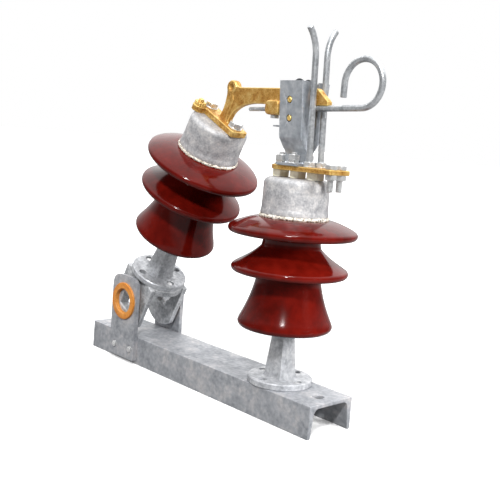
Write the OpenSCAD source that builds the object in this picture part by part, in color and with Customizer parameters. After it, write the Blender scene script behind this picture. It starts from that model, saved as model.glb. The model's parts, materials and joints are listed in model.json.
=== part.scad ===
// Tilting post air-break disconnect switch, one pole.
// A rolled channel carries one fixed post insulator and one that tilts in bearings.
// X runs along the channel from the tilting post to the fixed post, Y runs across it.
// Origin: middle of the channel, on the level surface under its flange toes.

/* [Base channel] */
// Length of the channel
base_len = 455; // [400:5:600]
// Width over the flanges
base_w = 75; // [70:1:80]
// Height from the flange toes to the web's top
base_h = 40; // [38:1:60]
// Thickness of the web
web_t = 4.8; // [4:0.1:8]
// Mean thickness of a flange
flange_t = 6.6; // [6:0.1:9]
// Diameter of the fixing holes in the web
fixing_d = 14; // [10:0.5:18]
// Distance from a channel end to its fixing hole
fixing_end = 22; // [16:1:30]

/* [Post insulators] */
// Height of a post from its foot to the top of its cap
post_h = 254; // [240:1:300]
// Distance from the channel's middle to the fixed post
fixed_x = 140; // [130:1:165]
// Radius of the upper shed
shed_top_r = 79.4; // [70:0.1:84]
// Radius of the lower shed
shed_low_r = 72; // [66:0.1:80]
// Radius of the bell's rim
bell_r = 58.6; // [54:0.1:64]
// Radius of the cap
cap_r = 41.4; // [38:0.1:46]
// Height of the cap
cap_h = 45; // [36:1:52]
// Radius of the foot flange
foot_r = 40.5; // [38:0.1:46]
// Thickness of the foot flange
foot_t = 8; // [6:0.5:12]
// Distance of each foot hole from the post's axis
foot_bolt = 30; // [28:0.5:32]
// Distance of each cap hole from the post's axis
cap_bolt = 28.5; // [26:0.5:30]

/* [Tilting bearing] */
// Distance from the channel's middle to the pivot
pivot_x = -143; // [-160:1:-130]
// Height of the pivot above the web
pivot_h = 48.5; // [46:0.5:70]
// Lean of the tilting post when the switch is closed, in degrees
rest_lean = 26.7; // [18:0.1:30]
// Distance from the pivot to the foot of the tilting post
seat_h = 44; // [43:0.5:60]
// Width of a bearing plate
plate_w = 60; // [50:1:72]
// Thickness of a bearing plate
plate_t = 6; // [5:0.5:10]
// Radius of the bearing plate's round top
plate_top_r = 39; // [36:0.5:39]
// Radius of the bush flange
bush_r = 27; // [25:0.5:29]
// Radius of the journal that turns in the bush
journal_r = 17.5; // [16:0.5:19]
// Side of the square hole for the operating shaft
shaft_side = 20; // [14:0.5:21]

/* [Blade and horns] */
// Height of the blade's middle above the fixed cap
blade_up = 97; // [90:0.5:120]
// Depth of the blade bar
blade_d = 20; // [16:0.5:26]
// Thickness of the blade bar
blade_t = 8; // [5:0.5:9]
// Length of the blade bar beyond the fixed post's axis
blade_over = 41; // [36:1:60]
// Diameter of the horn rods
horn_d = 7.5; // [6:0.5:9]
// Height of the fixed horns above the terminal plate
horn_h = 160; // [120:1:200]
// Lean of the fixed horns towards the tilting post, in degrees
horn_lean = 2.3; // [0:0.1:3]
// Rise of the moving horn's rod towards its loop, in degrees
rod_rise = 2; // [0:0.1:3]
// Radius of the moving horn's loop to the rod's middle
loop_r = 27; // [20:0.5:34]

/* [Terminal and contact] */
// Length of the terminal plate beyond the fixed post's axis
term_over = 66.5; // [64:0.5:90]
// Width of the terminal plate
term_w = 36; // [32:1:44]
// Thickness of the terminal plate
term_t = 6; // [4:0.5:10]
// Height of the packing nuts under the terminal plate
packing_h = 9; // [6:0.5:14]
// Width of a contact guard along X
guard_w = 36; // [34:1:44]
// Height of a contact guard above the terminal plate
guard_h = 99; // [94:1:120]
// Thickness of the guard's sheet
guard_t = 2.5; // [2:0.5:3]

/* [Hidden] */
$fn = 64;
tiny = 0.01;

// Running and assembly clearances
bolt_gap = 0.25;
run_gap = 0.05;
thrust_gap = 0.3;
contact_gap = 0.3;

// Channel
half_w = base_w / 2;
toe_t = flange_t - 1.6;
root_t = flange_t + 1.2;
root_fillet = 8;
toe_round = 2;

// Bearing
pivot_z = base_h + pivot_h;
plate_foot = 5;
plate_bolt_x = 19;
plate_bolt_z = 20;
bolt_proud = 1.2;
bush_flange_t = 2.8;
bush_barrel_r = 21;
cheek_out = half_w - 5;
cheek_t = 7;
cheek_r = pivot_h - 7.5;
cheek_w = 70;
journal_sink = 5;
plate_top = 37.5;
cheek_boss_r = 24;
carrier_top_t = 10;

// Post
shed_edge = 5;
stem_low = 31;
stem_top = 19;
stem_boss_r = 23;
bell_h = 69.5;
head_r = 36;
head_h = post_h - 14;
cap_low = post_h - cap_h;
cement_t = 3;
cap_round = 7;
neck_low_r = 40;
neck_up_r = 35.5;
upper_z = cap_low - 19;
lower_z = upper_z - 47.5;
roof_z = bell_h + 32;
bolt_sunk = 1.5;

// Fasteners: half of each spanner size, head height, shank radius
m10 = [8, 6.4, 5];
m8 = [6.5, 5.3, 4];
washer_t = 1.6;
lock_t = 2.4;
nut_t = 8;
thread_out = 3;

// Terminal and contact
term_low = post_h + packing_h;
term_top = term_low + term_t;
term_tail = -38;
term_bolt_x = term_over - 7;
term_bolt_y = 8;
guard_mid = -1.5;
guard_foot_y = 4.2;
guard_foot_out = 20;
guard_heel = 14;
guard_top_y = 24;
guard_knee_y = 18;
guard_knee = 33;
flange_inner = blade_t / 2 + 2.5;
guard_bolt_x = 3;
guard_bolt_y = guard_foot_y + m8[0] + 1.4;
stud_x = -3.5;
stud_z = [post_h + 70.5, post_h + 92];
stud_r = 2.5;
stud_hole_r = 3.6;
finger_t = 3;
finger_w = 26;
finger_low = term_top + 47;
finger_top = post_h + 110;
leaf_t = 1;
leaf_w = 20;
leaf_top = finger_top + 8;
stop_t = 2;
stop_z = finger_low - stop_t;
stop_reach = -46;

// Horns
horn_x = 26.5;
horn_y = 10;
horn_r = horn_d / 2;
flare_r = 46;
flare_a = 43;
horn_foot = 0.3;

// Blade, in the frame of the switch when closed
blade_mid = base_h + post_h + blade_up;
blade_low = blade_mid - blade_d / 2;
blade_high = blade_mid + blade_d / 2;
blade_end = fixed_x + blade_over;
blade_plate_t = 8;
blade_plate_w = 26;
blade_plate_end = 42;
jumper_x = 31;
jumper_y = 18;
jumper_ear_r = 9;
jumper_nut_r = 8;
jumper_nut_t = 6;
eye_r = 9;
boss_x = [80, 104];
boss_half = 8;
boss_low = blade_low - 13;
boss_high = blade_low + 5;
boss_round = 6;
rod_start = 46;
rod_low = blade_low - 7;
tail_r = 2.6;
loop_x = fixed_x + 88;
tail_len = boss_x[0] + 6 - rod_start;
rod_len = (loop_x - rod_start) / cos(rod_rise);
loop_c = [loop_x - loop_r * sin(rod_rise), rod_at(loop_x) + loop_r * cos(rod_rise)];
loop_end = 16;
screw_r = 3;
screw_head_t = 4;

// Places on the tilted post, given in the frame of the closed switch
function lean_x(u, h) = pivot_x + u * cos(rest_lean) + (seat_h + h) * sin(rest_lean);
function lean_z(u, h) = pivot_z - u * sin(rest_lean) + (seat_h + h) * cos(rest_lean);
// Height of the moving horn's rod at a place along it
function rod_at(x) = rod_low + (x - rod_start) * tan(rod_rise);
// Points of a circular arc and of a quadratic curve
function arc(cx, cz, r, a0, a1, n) = [for (i = [0:n]) let (a = a0 + (a1 - a0) * i / n)
                                      [cx + r * cos(a), cz + r * sin(a)]];
function bend(p, q, s, n) = [for (i = [1:n - 1]) let (t = i / n)
                             (1 - t) * (1 - t) * p + 2 * t * (1 - t) * q + t * t * s];

module on_fixed_post() {
  translate([fixed_x, 0, base_h]) children();
}

module on_tilting_post() {
  translate([pivot_x, 0, pivot_z]) rotate([0, rest_lean, 0]) translate([0, 0, seat_h]) children();
}

// A hexagon head or nut that stands on z = 0
module hexagon(size, height) {
  cylinder(r = size / cos(30), h = height, $fn = 6);
}

// A bolt whose head sits on z = 0 and whose shank goes down
module bolt(m, length) {
  hexagon(m[0], m[1]);
  translate([0, 0, -length]) cylinder(r = m[2], h = length + tiny);
}

// Height of a washer, a lock washer, a nut and the thread that stands out of it
function stack_h(m) = washer_t + lock_t + m[1] + 1.6 + thread_out;

// A washer, a lock washer and a nut on z = 0 round a shank
module nut_stack(m, turn) {
  ring(m[0] + 1.2, m[2], washer_t);
  translate([0, 0, washer_t]) ring(m[0] - 0.6, m[2], lock_t);
  translate([0, 0, washer_t + lock_t]) rotate([0, 0, turn]) difference() {
    hexagon(m[0], m[1] + 1.6);
    translate([0, 0, -1]) cylinder(r = m[2], h = m[1] + 4);
  }
}

module ring(outer, inner, height) {
  difference() {
    cylinder(r = outer, h = height);
    translate([0, 0, -1]) cylinder(r = inner, h = height + 2);
  }
}

// ---- Base channel ----

// Inner face of one tapered flange, from the web's underside out to the toe
function flange_inside() = [
  each arc(-half_w + root_t + root_fillet, base_h - web_t - root_fillet, root_fillet, 90, 176, 6),
  [-half_w + toe_t, toe_round], [-half_w + toe_t - toe_round, 0]];

module channel_section() {
  inside = flange_inside();
  polygon([[-half_w, 0], [-half_w, base_h], [half_w, base_h], [half_w, 0],
           each [for (i = [len(inside) - 1:-1:0]) [-inside[i][0], inside[i][1]]], each inside]);
}

module base_channel() {
  color("silver") difference() {
    translate([-base_len / 2, 0, 0]) rotate([90, 0, 90]) linear_extrude(base_len)
      channel_section();
    for (side = [-1, 1]) {
      translate([side * (base_len / 2 - fixing_end), 0, base_h - web_t - 1]) cylinder(d = fixing_d, h = web_t + 2);
      for (x = [-1, 1]) {
        translate([pivot_x + x * plate_bolt_x, side * half_w, plate_bolt_z]) rotate([side * 90, 0, 0])
          translate([0, 0, -2]) cylinder(r = m10[2] + bolt_gap, h = 20);
      }
    }
    for (x = [-1, 1]) {
      translate([fixed_x + x * foot_bolt, 0, base_h - web_t - 1])
        cylinder(r = m10[2] + bolt_gap, h = web_t + 2);
    }
  }
}

// ---- Bearing plates, bushes and their bolts; drawn at the near side, mirrored for the far ----

module plate_outline() {
  intersection() {
    translate([-plate_w / 2, plate_foot - pivot_z]) square([plate_w, pivot_z - plate_foot + plate_top]);
    union() {
      circle(r = plate_top_r);
      translate([-plate_w / 2, plate_foot - pivot_z]) square([plate_w, pivot_z - plate_foot]);
    }
  }
}

module bearing_plate() {
  color("gainsboro") translate([pivot_x, -half_w, pivot_z]) rotate([90, 0, 0]) difference() {
    linear_extrude(plate_t) plate_outline();
    translate([0, 0, -1]) cylinder(r = bush_barrel_r, h = plate_t + 2);
    for (x = [-1, 1]) {
      translate([x * plate_bolt_x, plate_bolt_z - pivot_z, -1])
        cylinder(r = m10[2], h = plate_t + 2);
    }
  }
}

module bush() {
  color("darkorange") translate([pivot_x, -half_w, pivot_z]) rotate([90, 0, 0]) difference() {
    union() {
      translate([0, 0, -bush_flange_t]) cylinder(r = bush_r, h = bush_flange_t);
      cylinder(r = bush_barrel_r, h = plate_t);
      translate([0, 0, plate_t]) cylinder(r = bush_r, h = bush_flange_t);
    }
    translate([0, 0, -bush_flange_t - 1]) cylinder(r = journal_r + run_gap, h = plate_t + 2 * bush_flange_t + 2);
  }
}

// Bolts from inside the channel; their ends stand just proud of the tapped plate
module plate_bolts() {
  color("whitesmoke") for (x = [-1, 1]) {
    translate([pivot_x + x * plate_bolt_x, -half_w + root_t, plate_bolt_z]) rotate([-90, 0, 0])
      bolt(m10, root_t + plate_t + bolt_proud);
  }
}

module bearing_plate_near() { bearing_plate(); }
module bearing_plate_far() { mirror([0, 1, 0]) bearing_plate(); }
module bush_near() { bush(); }
module bush_far() { mirror([0, 1, 0]) bush(); }
module plate_bolts_near() { plate_bolts(); }
module plate_bolts_far() { mirror([0, 1, 0]) plate_bolts(); }

// ---- Post insulator pieces, drawn upright from the foot's underside ----

module pedestal() {
  color("darkgray") difference() {
    union() {
      cylinder(r = foot_r, h = foot_t);
      hull() {
        translate([-stem_low / 2, -stem_low / 2, foot_t - 1]) cube([stem_low, stem_low, 1]);
        translate([-stem_top / 2, -stem_top / 2, bell_h]) cube([stem_top, stem_top, 1]);
      }
      translate([0, 0, bell_h]) cylinder(r = stem_boss_r, h = roof_z - bell_h);
    }
    for (turn = [0, 90, 180, 270]) {
      rotate([0, 0, turn]) translate([foot_bolt, 0, -1]) cylinder(r = m10[2], h = foot_t + 2);
    }
  }
}

// Two bolts from below, through what the foot stands on and into its tapped holes
module foot_bolts(seat_t) {
  color("whitesmoke") for (x = [-1, 1]) {
    translate([x * foot_bolt, 0, -seat_t]) rotate([180, 0, 0]) bolt(m10, seat_t + foot_t - bolt_sunk);
  }
}

function post_outline() = [
  [0, roof_z], [stem_boss_r + 4, roof_z],
  each bend([stem_boss_r + 4, roof_z], [bell_r - 16, roof_z - 2], [bell_r - 11, bell_h + 3], 6),
  each arc(bell_r - 6.6, bell_h + 6.6, 6.6, -110, 0, 8),
  each bend([bell_r, bell_h + 8], [neck_low_r + 5, bell_h + 34], [neck_low_r, lower_z - 12], 8),
  [neck_low_r, lower_z - 8],
  each bend([neck_low_r, lower_z - 8], [neck_low_r + 8, lower_z - 4], [shed_low_r - 12, lower_z - 5], 4),
  each arc(shed_low_r - shed_edge, lower_z, shed_edge, -95, 65, 8),
  each bend([shed_low_r - 3, lower_z + 5], [neck_up_r + 8, lower_z + 19], [neck_up_r, lower_z + 30], 6),
  [neck_up_r, lower_z + 34],
  each bend([neck_up_r, upper_z - 9], [neck_up_r + 8, upper_z - 4], [shed_top_r - 12, upper_z - 5], 4),
  each arc(shed_top_r - shed_edge, upper_z, shed_edge, -95, 65, 8),
  each bend([shed_top_r - 3, upper_z + 5], [head_r + 20, cap_low - cement_t - 1], [head_r + 8, cap_low - cement_t], 6),
  [head_r + 8, cap_low - cement_t], [head_r, cap_low - cement_t],
  [head_r, head_h - 4], [head_r - 4, head_h], [0, head_h]];

module porcelain() {
  color([0.42, 0.09, 0.05]) rotate_extrude($fn = 96) polygon(post_outline());
}

module cement() {
  color("wheat") translate([0, 0, cap_low - cement_t]) ring(cap_r + 1.2, head_r, cement_t);
}

module cap() {
  color("lightgray") difference() {
    rotate_extrude($fn = 96)
      polygon([[0, cap_low], [cap_r, cap_low],
               each arc(cap_r - cap_round, post_h - cap_round, cap_round, 0, 90, 6), [0, post_h]]);
    rotate_extrude($fn = 96)
      polygon([[0, cap_low - 1], [head_r, cap_low - 1], [head_r, head_h - 4], [head_r - 4, head_h], [0, head_h]]);
    for (x = [-1, 1]) {
      translate([x * cap_bolt, 0, head_h + 1]) cylinder(r = m10[2], h = post_h - head_h);
    }
  }
}

module fixed_pedestal() { on_fixed_post() pedestal(); }
module fixed_foot_bolts() { on_fixed_post() foot_bolts(web_t); }
module fixed_porcelain() { on_fixed_post() porcelain(); }
module fixed_cement() { on_fixed_post() cement(); }
module fixed_cap() { on_fixed_post() cap(); }
module tilting_pedestal() { on_tilting_post() pedestal(); }
module tilting_porcelain() { on_tilting_post() porcelain(); }
module tilting_cement() { on_tilting_post() cement(); }
module tilting_cap() { on_tilting_post() cap(); }

// ---- Terminal plate and contact on the fixed post ----

module packing_nuts() {
  color("lemonchiffon") on_fixed_post() for (x = [-1, 0, 1]) {
    translate([x * cap_bolt, 0, post_h]) difference() {
      hexagon(9.5, packing_h);
      translate([0, 0, -1]) cylinder(r = m10[2], h = packing_h + 2);
    }
  }
}

module cap_studs() {
  color("whitesmoke") on_fixed_post() {
    translate([-cap_bolt, 0, term_top]) nut_stack(m10, 0);
    translate([-cap_bolt, 0, head_h + 2])
      cylinder(r = m10[2], h = term_top + stack_h(m10) - head_h - 2);
    translate([cap_bolt, 0, head_h + 2]) cylinder(r = m10[2], h = term_top - head_h - 2);
    translate([0, 0, post_h]) cylinder(r = m10[2], h = term_top - post_h);
  }
}

module terminal_plate() {
  color("goldenrod") on_fixed_post() translate([0, 0, term_low]) difference() {
    linear_extrude(term_t) {
      translate([term_tail + term_w / 2, 0]) circle(d = term_w);
      translate([term_tail + term_w / 2, -term_w / 2]) square([term_over - term_tail - term_w / 2, term_w]);
    }
    for (x = [-1, 0, 1]) {
      translate([x * cap_bolt, 0, -1]) cylinder(r = m10[2], h = term_t + 2);
    }
    for (y = [-1, 1]) {
      translate([term_bolt_x, y * term_bolt_y, -1]) cylinder(r = m8[2] + bolt_gap, h = term_t + 2);
      translate([guard_bolt_x, y * guard_bolt_y, -1]) cylinder(r = m8[2], h = term_t + 2);
      on_horn(y) translate([0, 0, -2]) cylinder(r = horn_r, h = term_t + 4);
    }
  }
}

module terminal_bolts() {
  color("silver") on_fixed_post() for (y = [-1, 1]) {
    translate([term_bolt_x, y * term_bolt_y, term_top]) bolt(m8, 26);
    translate([term_bolt_x, y * term_bolt_y, term_low - 6]) difference() {
      hexagon(m8[0], 6);
      translate([0, 0, -1]) cylinder(r = m8[2], h = 8);
    }
  }
}

// Section of a guard in the YZ plane: foot, lower slope and upper slope; outer faces at -Y
module guard_section() {
  polygon([[-guard_foot_out, 0], [-guard_foot_out, guard_t], [-guard_foot_y, guard_t],
           [-guard_foot_y, guard_heel], [-guard_knee_y, guard_knee], [-guard_top_y, guard_h],
           [-guard_top_y + guard_t, guard_h], [-guard_knee_y + guard_t, guard_knee - 1],
           [-guard_foot_y + guard_t, guard_heel - 1], [-guard_foot_y + guard_t, 0]]);
}

module guard_flange_section() {
  polygon([[-guard_foot_y, guard_t], [-guard_foot_y, guard_heel], [-guard_knee_y, guard_knee],
           [-guard_top_y, guard_h], [-flange_inner, guard_h], [-flange_inner, guard_knee],
           [-guard_foot_y + guard_t, guard_heel + 6], [-guard_foot_y + guard_t, guard_t]]);
}

module guard() {
  color("lightsteelblue") on_fixed_post() translate([guard_mid, 0, term_top]) difference() {
    union() {
      translate([-guard_w / 2, 0, 0]) rotate([90, 0, 90]) linear_extrude(guard_w) guard_section();
      translate([guard_w / 2 - guard_t, 0, 0]) rotate([90, 0, 90]) linear_extrude(guard_t)
        guard_flange_section();
    }
    for (z = stud_z) {
      translate([stud_x - guard_mid, -guard_top_y - 1, z - term_top]) rotate([-90, 0, 0])
        cylinder(r = stud_hole_r, h = 14);
    }
    translate([guard_bolt_x - guard_mid, -guard_bolt_y, -1]) cylinder(r = m8[2] + bolt_gap, h = guard_t + 2);
  }
}

module guard_bolts() {
  color("whitesmoke") on_fixed_post() for (y = [-1, 1]) {
    translate([guard_bolt_x, y * guard_bolt_y, term_top + guard_t]) {
      nut_stack(m8, 0);
      translate([0, 0, -guard_t - term_t]) cylinder(r = m8[2], h = guard_t + term_t + stack_h(m8));
    }
  }
}

module contact_finger() {
  color("goldenrod") on_fixed_post() difference() {
    translate([guard_mid - finger_w / 2, -blade_t / 2 - contact_gap - finger_t, finger_low])
      cube([finger_w, finger_t, finger_top - finger_low]);
    for (z = stud_z) {
      translate([stud_x, 0, z]) rotate([90, 0, 0]) cylinder(r = stud_r, h = 20);
    }
  }
}

module leaf_spring() {
  color("slategray") on_fixed_post()
    translate([stud_x, -blade_t / 2 - contact_gap - finger_t, finger_low]) rotate([90, 0, 0]) difference() {
      linear_extrude(leaf_t) {
        translate([-leaf_w / 2, 0]) square([leaf_w, leaf_top - finger_low - leaf_w / 2]);
        translate([0, leaf_top - finger_low - leaf_w / 2]) circle(d = leaf_w);
      }
      for (z = stud_z) {
        translate([0, z - finger_low, -1]) cylinder(r = stud_r, h = leaf_t + 2);
      }
    }
}

// Where the guard's outer face stands at a height above the terminal plate
function guard_y(z) = guard_knee_y + (guard_top_y - guard_knee_y) * (z - guard_knee) / (guard_h - guard_knee);

module finger_studs() {
  color("gold") on_fixed_post() for (side = [-1, 1], z = stud_z) {
    translate([stud_x, side * (blade_t / 2 + contact_gap + 0.5), z]) rotate([side * -90, 0, 0])
      cylinder(r = stud_r, h = guard_y(z - term_top) - blade_t / 2 - contact_gap);
  }
}

module contact_springs() {
  color("dimgray") on_fixed_post() for (side = [-1, 1], z = stud_z) {
    translate([stud_x, side * (blade_t / 2 + contact_gap + finger_t + leaf_t), z]) rotate([side * -90, 0, 0])
      ring(stud_hole_r + 2.4, stud_r,
           guard_y(z - term_top) - guard_t - 1 - blade_t / 2 - contact_gap - finger_t - leaf_t);
  }
}

module stop_plate() {
  inner = guard_y(stop_z - term_top) - guard_t - 0.7;
  color("gray") on_fixed_post() translate([0, 0, stop_z]) {
    translate([guard_mid - guard_w / 2, -inner, 0]) cube([guard_w - guard_t - 0.5, 2 * inner, stop_t]);
    translate([stop_reach, -5, 0]) cube([guard_mid - guard_w / 2 - stop_reach + tiny, 10, stop_t]);
  }
}

// ---- Fixed horns ----

// Along a leaning horn from the terminal plate's underside
module on_horn(y) {
  translate([horn_x, y * horn_y, 0]) rotate([0, -horn_lean, 0]) children();
}

module horn() {
  straight = horn_h + term_t - flare_r * sin(flare_a);
  color("silver") on_fixed_post() translate([0, 0, term_low]) on_horn(-1) {
    translate([0, 0, horn_foot]) cylinder(r = horn_r, h = straight - horn_foot);
    translate([0, -flare_r, straight]) rotate([90, 0, 90])
      rotate_extrude(angle = flare_a) translate([flare_r, 0]) circle(r = horn_r, $fn = 32);
  }
}

module horn_nuts() {
  color("whitesmoke") on_fixed_post() for (y = [-1, 1]) {
    difference() {
      translate([horn_x, y * horn_y, term_top]) hexagon(m8[0], 6.5);
      translate([0, 0, term_low]) on_horn(y) cylinder(r = horn_r, h = term_t + 9);
    }
  }
}

module guard_near() { guard(); }
module guard_far() { mirror([0, 1, 0]) guard(); }
module contact_finger_near() { contact_finger(); }
module contact_finger_far() { mirror([0, 1, 0]) contact_finger(); }
module leaf_spring_near() { leaf_spring(); }
module leaf_spring_far() { mirror([0, 1, 0]) leaf_spring(); }
module horn_near() { horn(); }
module horn_far() { mirror([0, 1, 0]) horn(); }

// ---- Tilting carrier, drawn about the pivot with its top square to the post ----

module cheek() {
  difference() {
    union() {
      translate([0, -cheek_out, 0]) rotate([-90, 0, 0]) linear_extrude(cheek_t) {
        intersection() {
          circle(r = cheek_r);
          square([cheek_w, 2 * cheek_r], center = true);
        }
        translate([-cheek_w / 2, -seat_h + 1]) square([cheek_w, seat_h - 1]);
      }
      translate([0, -cheek_out, 0]) rotate([90, 0, 0])
        cylinder(r = cheek_boss_r, h = half_w - bush_flange_t - thrust_gap - cheek_out);
      translate([0, -cheek_out, 0]) rotate([90, 0, 0])
        cylinder(r = journal_r, h = half_w + plate_t + bush_flange_t - journal_sink - cheek_out);
    }
    translate([-shaft_side / 2, -half_w - 20, -shaft_side / 2]) cube([shaft_side, half_w + 20, shaft_side]);
  }
}

module carrier() {
  color("darkgray") translate([pivot_x, 0, pivot_z]) rotate([0, rest_lean, 0]) {
    cheek();
    mirror([0, 1, 0]) cheek();
    difference() {
      translate([0, 0, seat_h - carrier_top_t]) linear_extrude(carrier_top_t) intersection() {
        circle(r = foot_r);
        square([2 * foot_r, 2 * cheek_out], center = true);
      }
      for (x = [-1, 1]) {
        translate([x * foot_bolt, 0, seat_h - carrier_top_t - 1])
          cylinder(r = m10[2] + bolt_gap, h = carrier_top_t + 2);
      }
    }
  }
}

module carrier_bolts() {
  on_tilting_post() foot_bolts(carrier_top_t);
}

// ---- Blade arm with its base plate, horn clamp and eye ----

module blade_outline() {
  root_l = [lean_x(-2, post_h + blade_plate_t - 1), lean_z(-2, post_h + blade_plate_t - 1)];
  root_r = [lean_x(16, post_h + blade_plate_t - 1), lean_z(16, post_h + blade_plate_t - 1)];
  eye_x = lean_x(-2, post_h + 50) + 1.5;
  polygon([root_l, each bend(root_l, [eye_x - 12, blade_low - 4], [eye_x - eye_r, blade_mid + 4], 6),
           [eye_x - eye_r, blade_high], [eye_x + eye_r, blade_high], [blade_end - 18, blade_high],
           [blade_end, blade_low + 5], [blade_end, blade_low], [eye_x + 56, blade_low],
           each bend([eye_x + 56, blade_low], [eye_x + 8, blade_low + 2], root_r, 8), root_r]);
  translate([eye_x, blade_high]) circle(r = eye_r);
}

// The plate under the arm, with a round ear for the jumper's stud
module blade_plate_outline() {
  left = -jumper_x - jumper_ear_r;
  translate([left, -blade_plate_w / 2]) square([blade_plate_end - left, blade_plate_w]);
  translate([left, -jumper_y]) square([2 * jumper_ear_r, jumper_y]);
  translate([-jumper_x, -jumper_y]) circle(r = jumper_ear_r);
}

// The lump that clamps the moving horn's rod, with its corners rounded
module boss_outline() {
  r = boss_round;
  polygon([each arc(boss_x[0] + r, boss_low + r, r, 180, 270, 6),
           each arc(boss_x[1] - r, boss_low + r, r, 270, 360, 6),
           each arc(boss_x[1] - r, boss_high - r, r, 0, 90, 6),
           each arc(boss_x[0] + r, boss_high - r, r, 90, 180, 6)]);
}

module blade() {
  color("goldenrod") {
    difference() {
      union() {
        rotate([90, 0, 0]) translate([0, 0, -blade_t / 2]) linear_extrude(blade_t) blade_outline();
        rotate([90, 0, 0]) translate([0, 0, -boss_half]) linear_extrude(2 * boss_half) boss_outline();
      }
      on_rod() translate([0, 0, tail_len]) cylinder(r = horn_r, h = rod_len);
      on_rod() cylinder(r = tail_r, h = tail_len + tiny);
      translate([(boss_x[0] + boss_x[1]) / 2, 0, boss_low - 1]) cylinder(r = screw_r, h = rod_low - boss_low);
    }
    on_tilting_post() translate([0, 0, post_h]) difference() {
      linear_extrude(blade_plate_t) blade_plate_outline();
      for (x = [-1, 1]) {
        translate([x * cap_bolt, 0, -1]) cylinder(r = m10[2] + bolt_gap, h = blade_plate_t + 2);
      }
      translate([-jumper_x, -jumper_y, -1]) cylinder(r = m8[2], h = blade_plate_t + 2);
    }
  }
}

module blade_bolts() {
  color("silver") on_tilting_post() for (x = [-1, 1]) {
    translate([x * cap_bolt, 0, post_h + blade_plate_t]) ring(m10[0] + 1.5, m10[2], washer_t);
    translate([x * cap_bolt, 0, post_h + blade_plate_t + washer_t])
      bolt(m10, post_h + blade_plate_t + washer_t - head_h - 2);
  }
}

module jumper_stud() {
  color("gold") on_tilting_post() translate([-jumper_x, -jumper_y, post_h + blade_plate_t]) {
    cylinder(r = jumper_nut_r, h = jumper_nut_t);
    translate([0, 0, -blade_plate_t]) cylinder(r = m8[2], h = blade_plate_t + jumper_nut_t + thread_out);
  }
}

// ---- Moving horn: a straight rod under the blade that ends in an open loop ----

// Along the moving horn's rod from its tail
module on_rod() {
  translate([rod_start, 0, rod_low]) rotate([0, 90 - rod_rise, 0]) children();
}

module moving_horn() {
  color("silver") {
    on_rod() cylinder(r = tail_r, h = tail_len + tiny);
    on_rod() translate([0, 0, tail_len]) cylinder(r = horn_r, h = rod_len - tail_len);
    translate([loop_c[0], 0, loop_c[1]]) rotate([90, 0, 0]) rotate([0, 0, rod_rise - 90])
      rotate_extrude(angle = 270 - rod_rise) translate([loop_r, 0]) circle(r = horn_r, $fn = 32);
    translate([loop_c[0] - loop_r, 0, loop_c[1] - loop_end]) cylinder(r = horn_r, h = loop_end);
  }
}

module horn_screw() {
  x = (boss_x[0] + boss_x[1]) / 2;
  color("whitesmoke") translate([x, 0, boss_low - screw_head_t]) {
    hexagon(5, screw_head_t);
    cylinder(r = screw_r, h = rod_at(x) - horn_r - boss_low + screw_head_t);
  }
}

base_channel();
bearing_plate_near();
bearing_plate_far();
bush_near();
bush_far();
plate_bolts_near();
plate_bolts_far();
fixed_pedestal();
fixed_foot_bolts();
fixed_porcelain();
fixed_cement();
fixed_cap();
packing_nuts();
cap_studs();
terminal_plate();
terminal_bolts();
guard_near();
guard_far();
guard_bolts();
contact_finger_near();
contact_finger_far();
leaf_spring_near();
leaf_spring_far();
finger_studs();
contact_springs();
stop_plate();
horn_near();
horn_far();
horn_nuts();
carrier();
carrier_bolts();
tilting_pedestal();
tilting_porcelain();
tilting_cement();
tilting_cap();
blade();
blade_bolts();
jumper_stud();
moving_horn();
horn_screw();
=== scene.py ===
"""Looks of a tilting post air-break disconnect switch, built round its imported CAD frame."""

import json
import logging
import math
from dataclasses import dataclass
from enum import Enum
from typing import Sequence

import bpy
from mathutils import Matrix, Vector


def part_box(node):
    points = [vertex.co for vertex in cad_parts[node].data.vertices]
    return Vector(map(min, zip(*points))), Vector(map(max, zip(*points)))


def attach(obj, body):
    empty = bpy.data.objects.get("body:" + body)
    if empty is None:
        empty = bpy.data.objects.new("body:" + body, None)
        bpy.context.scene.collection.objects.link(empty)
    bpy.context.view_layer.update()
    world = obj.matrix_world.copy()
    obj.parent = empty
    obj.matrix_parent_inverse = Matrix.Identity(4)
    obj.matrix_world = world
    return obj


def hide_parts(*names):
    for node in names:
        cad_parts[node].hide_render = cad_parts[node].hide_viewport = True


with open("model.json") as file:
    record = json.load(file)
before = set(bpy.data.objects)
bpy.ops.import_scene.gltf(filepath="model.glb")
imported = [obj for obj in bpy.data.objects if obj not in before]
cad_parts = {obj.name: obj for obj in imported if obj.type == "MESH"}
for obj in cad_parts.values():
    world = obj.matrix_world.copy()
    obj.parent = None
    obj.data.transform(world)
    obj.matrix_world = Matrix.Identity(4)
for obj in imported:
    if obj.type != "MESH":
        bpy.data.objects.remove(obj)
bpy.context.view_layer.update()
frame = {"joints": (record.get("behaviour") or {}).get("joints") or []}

MM = 0.001
BASE = "base"
POST = "tilting_post"
CRISP = 30
SEAMLESS = 180
HEAD_T = 6.4
Point = tuple[float, float, float]
Profile = list[tuple[float, float]]

logging.basicConfig(level=logging.INFO, format="%(name)s: %(message)s")
log = logging.getLogger("switch")


class Side(Enum):
    """The side of the channel that a piece stands on."""

    NEAR = -1
    FAR = 1


class Thread(Enum):
    """Metric fasteners: half of the spanner size, nut height and shank radius, in millimetres."""

    M10 = (8.0, 8.0, 5.0)
    M8 = (6.5, 6.9, 4.0)


# ---------------------------------------------------------------- modelling bench


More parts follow.
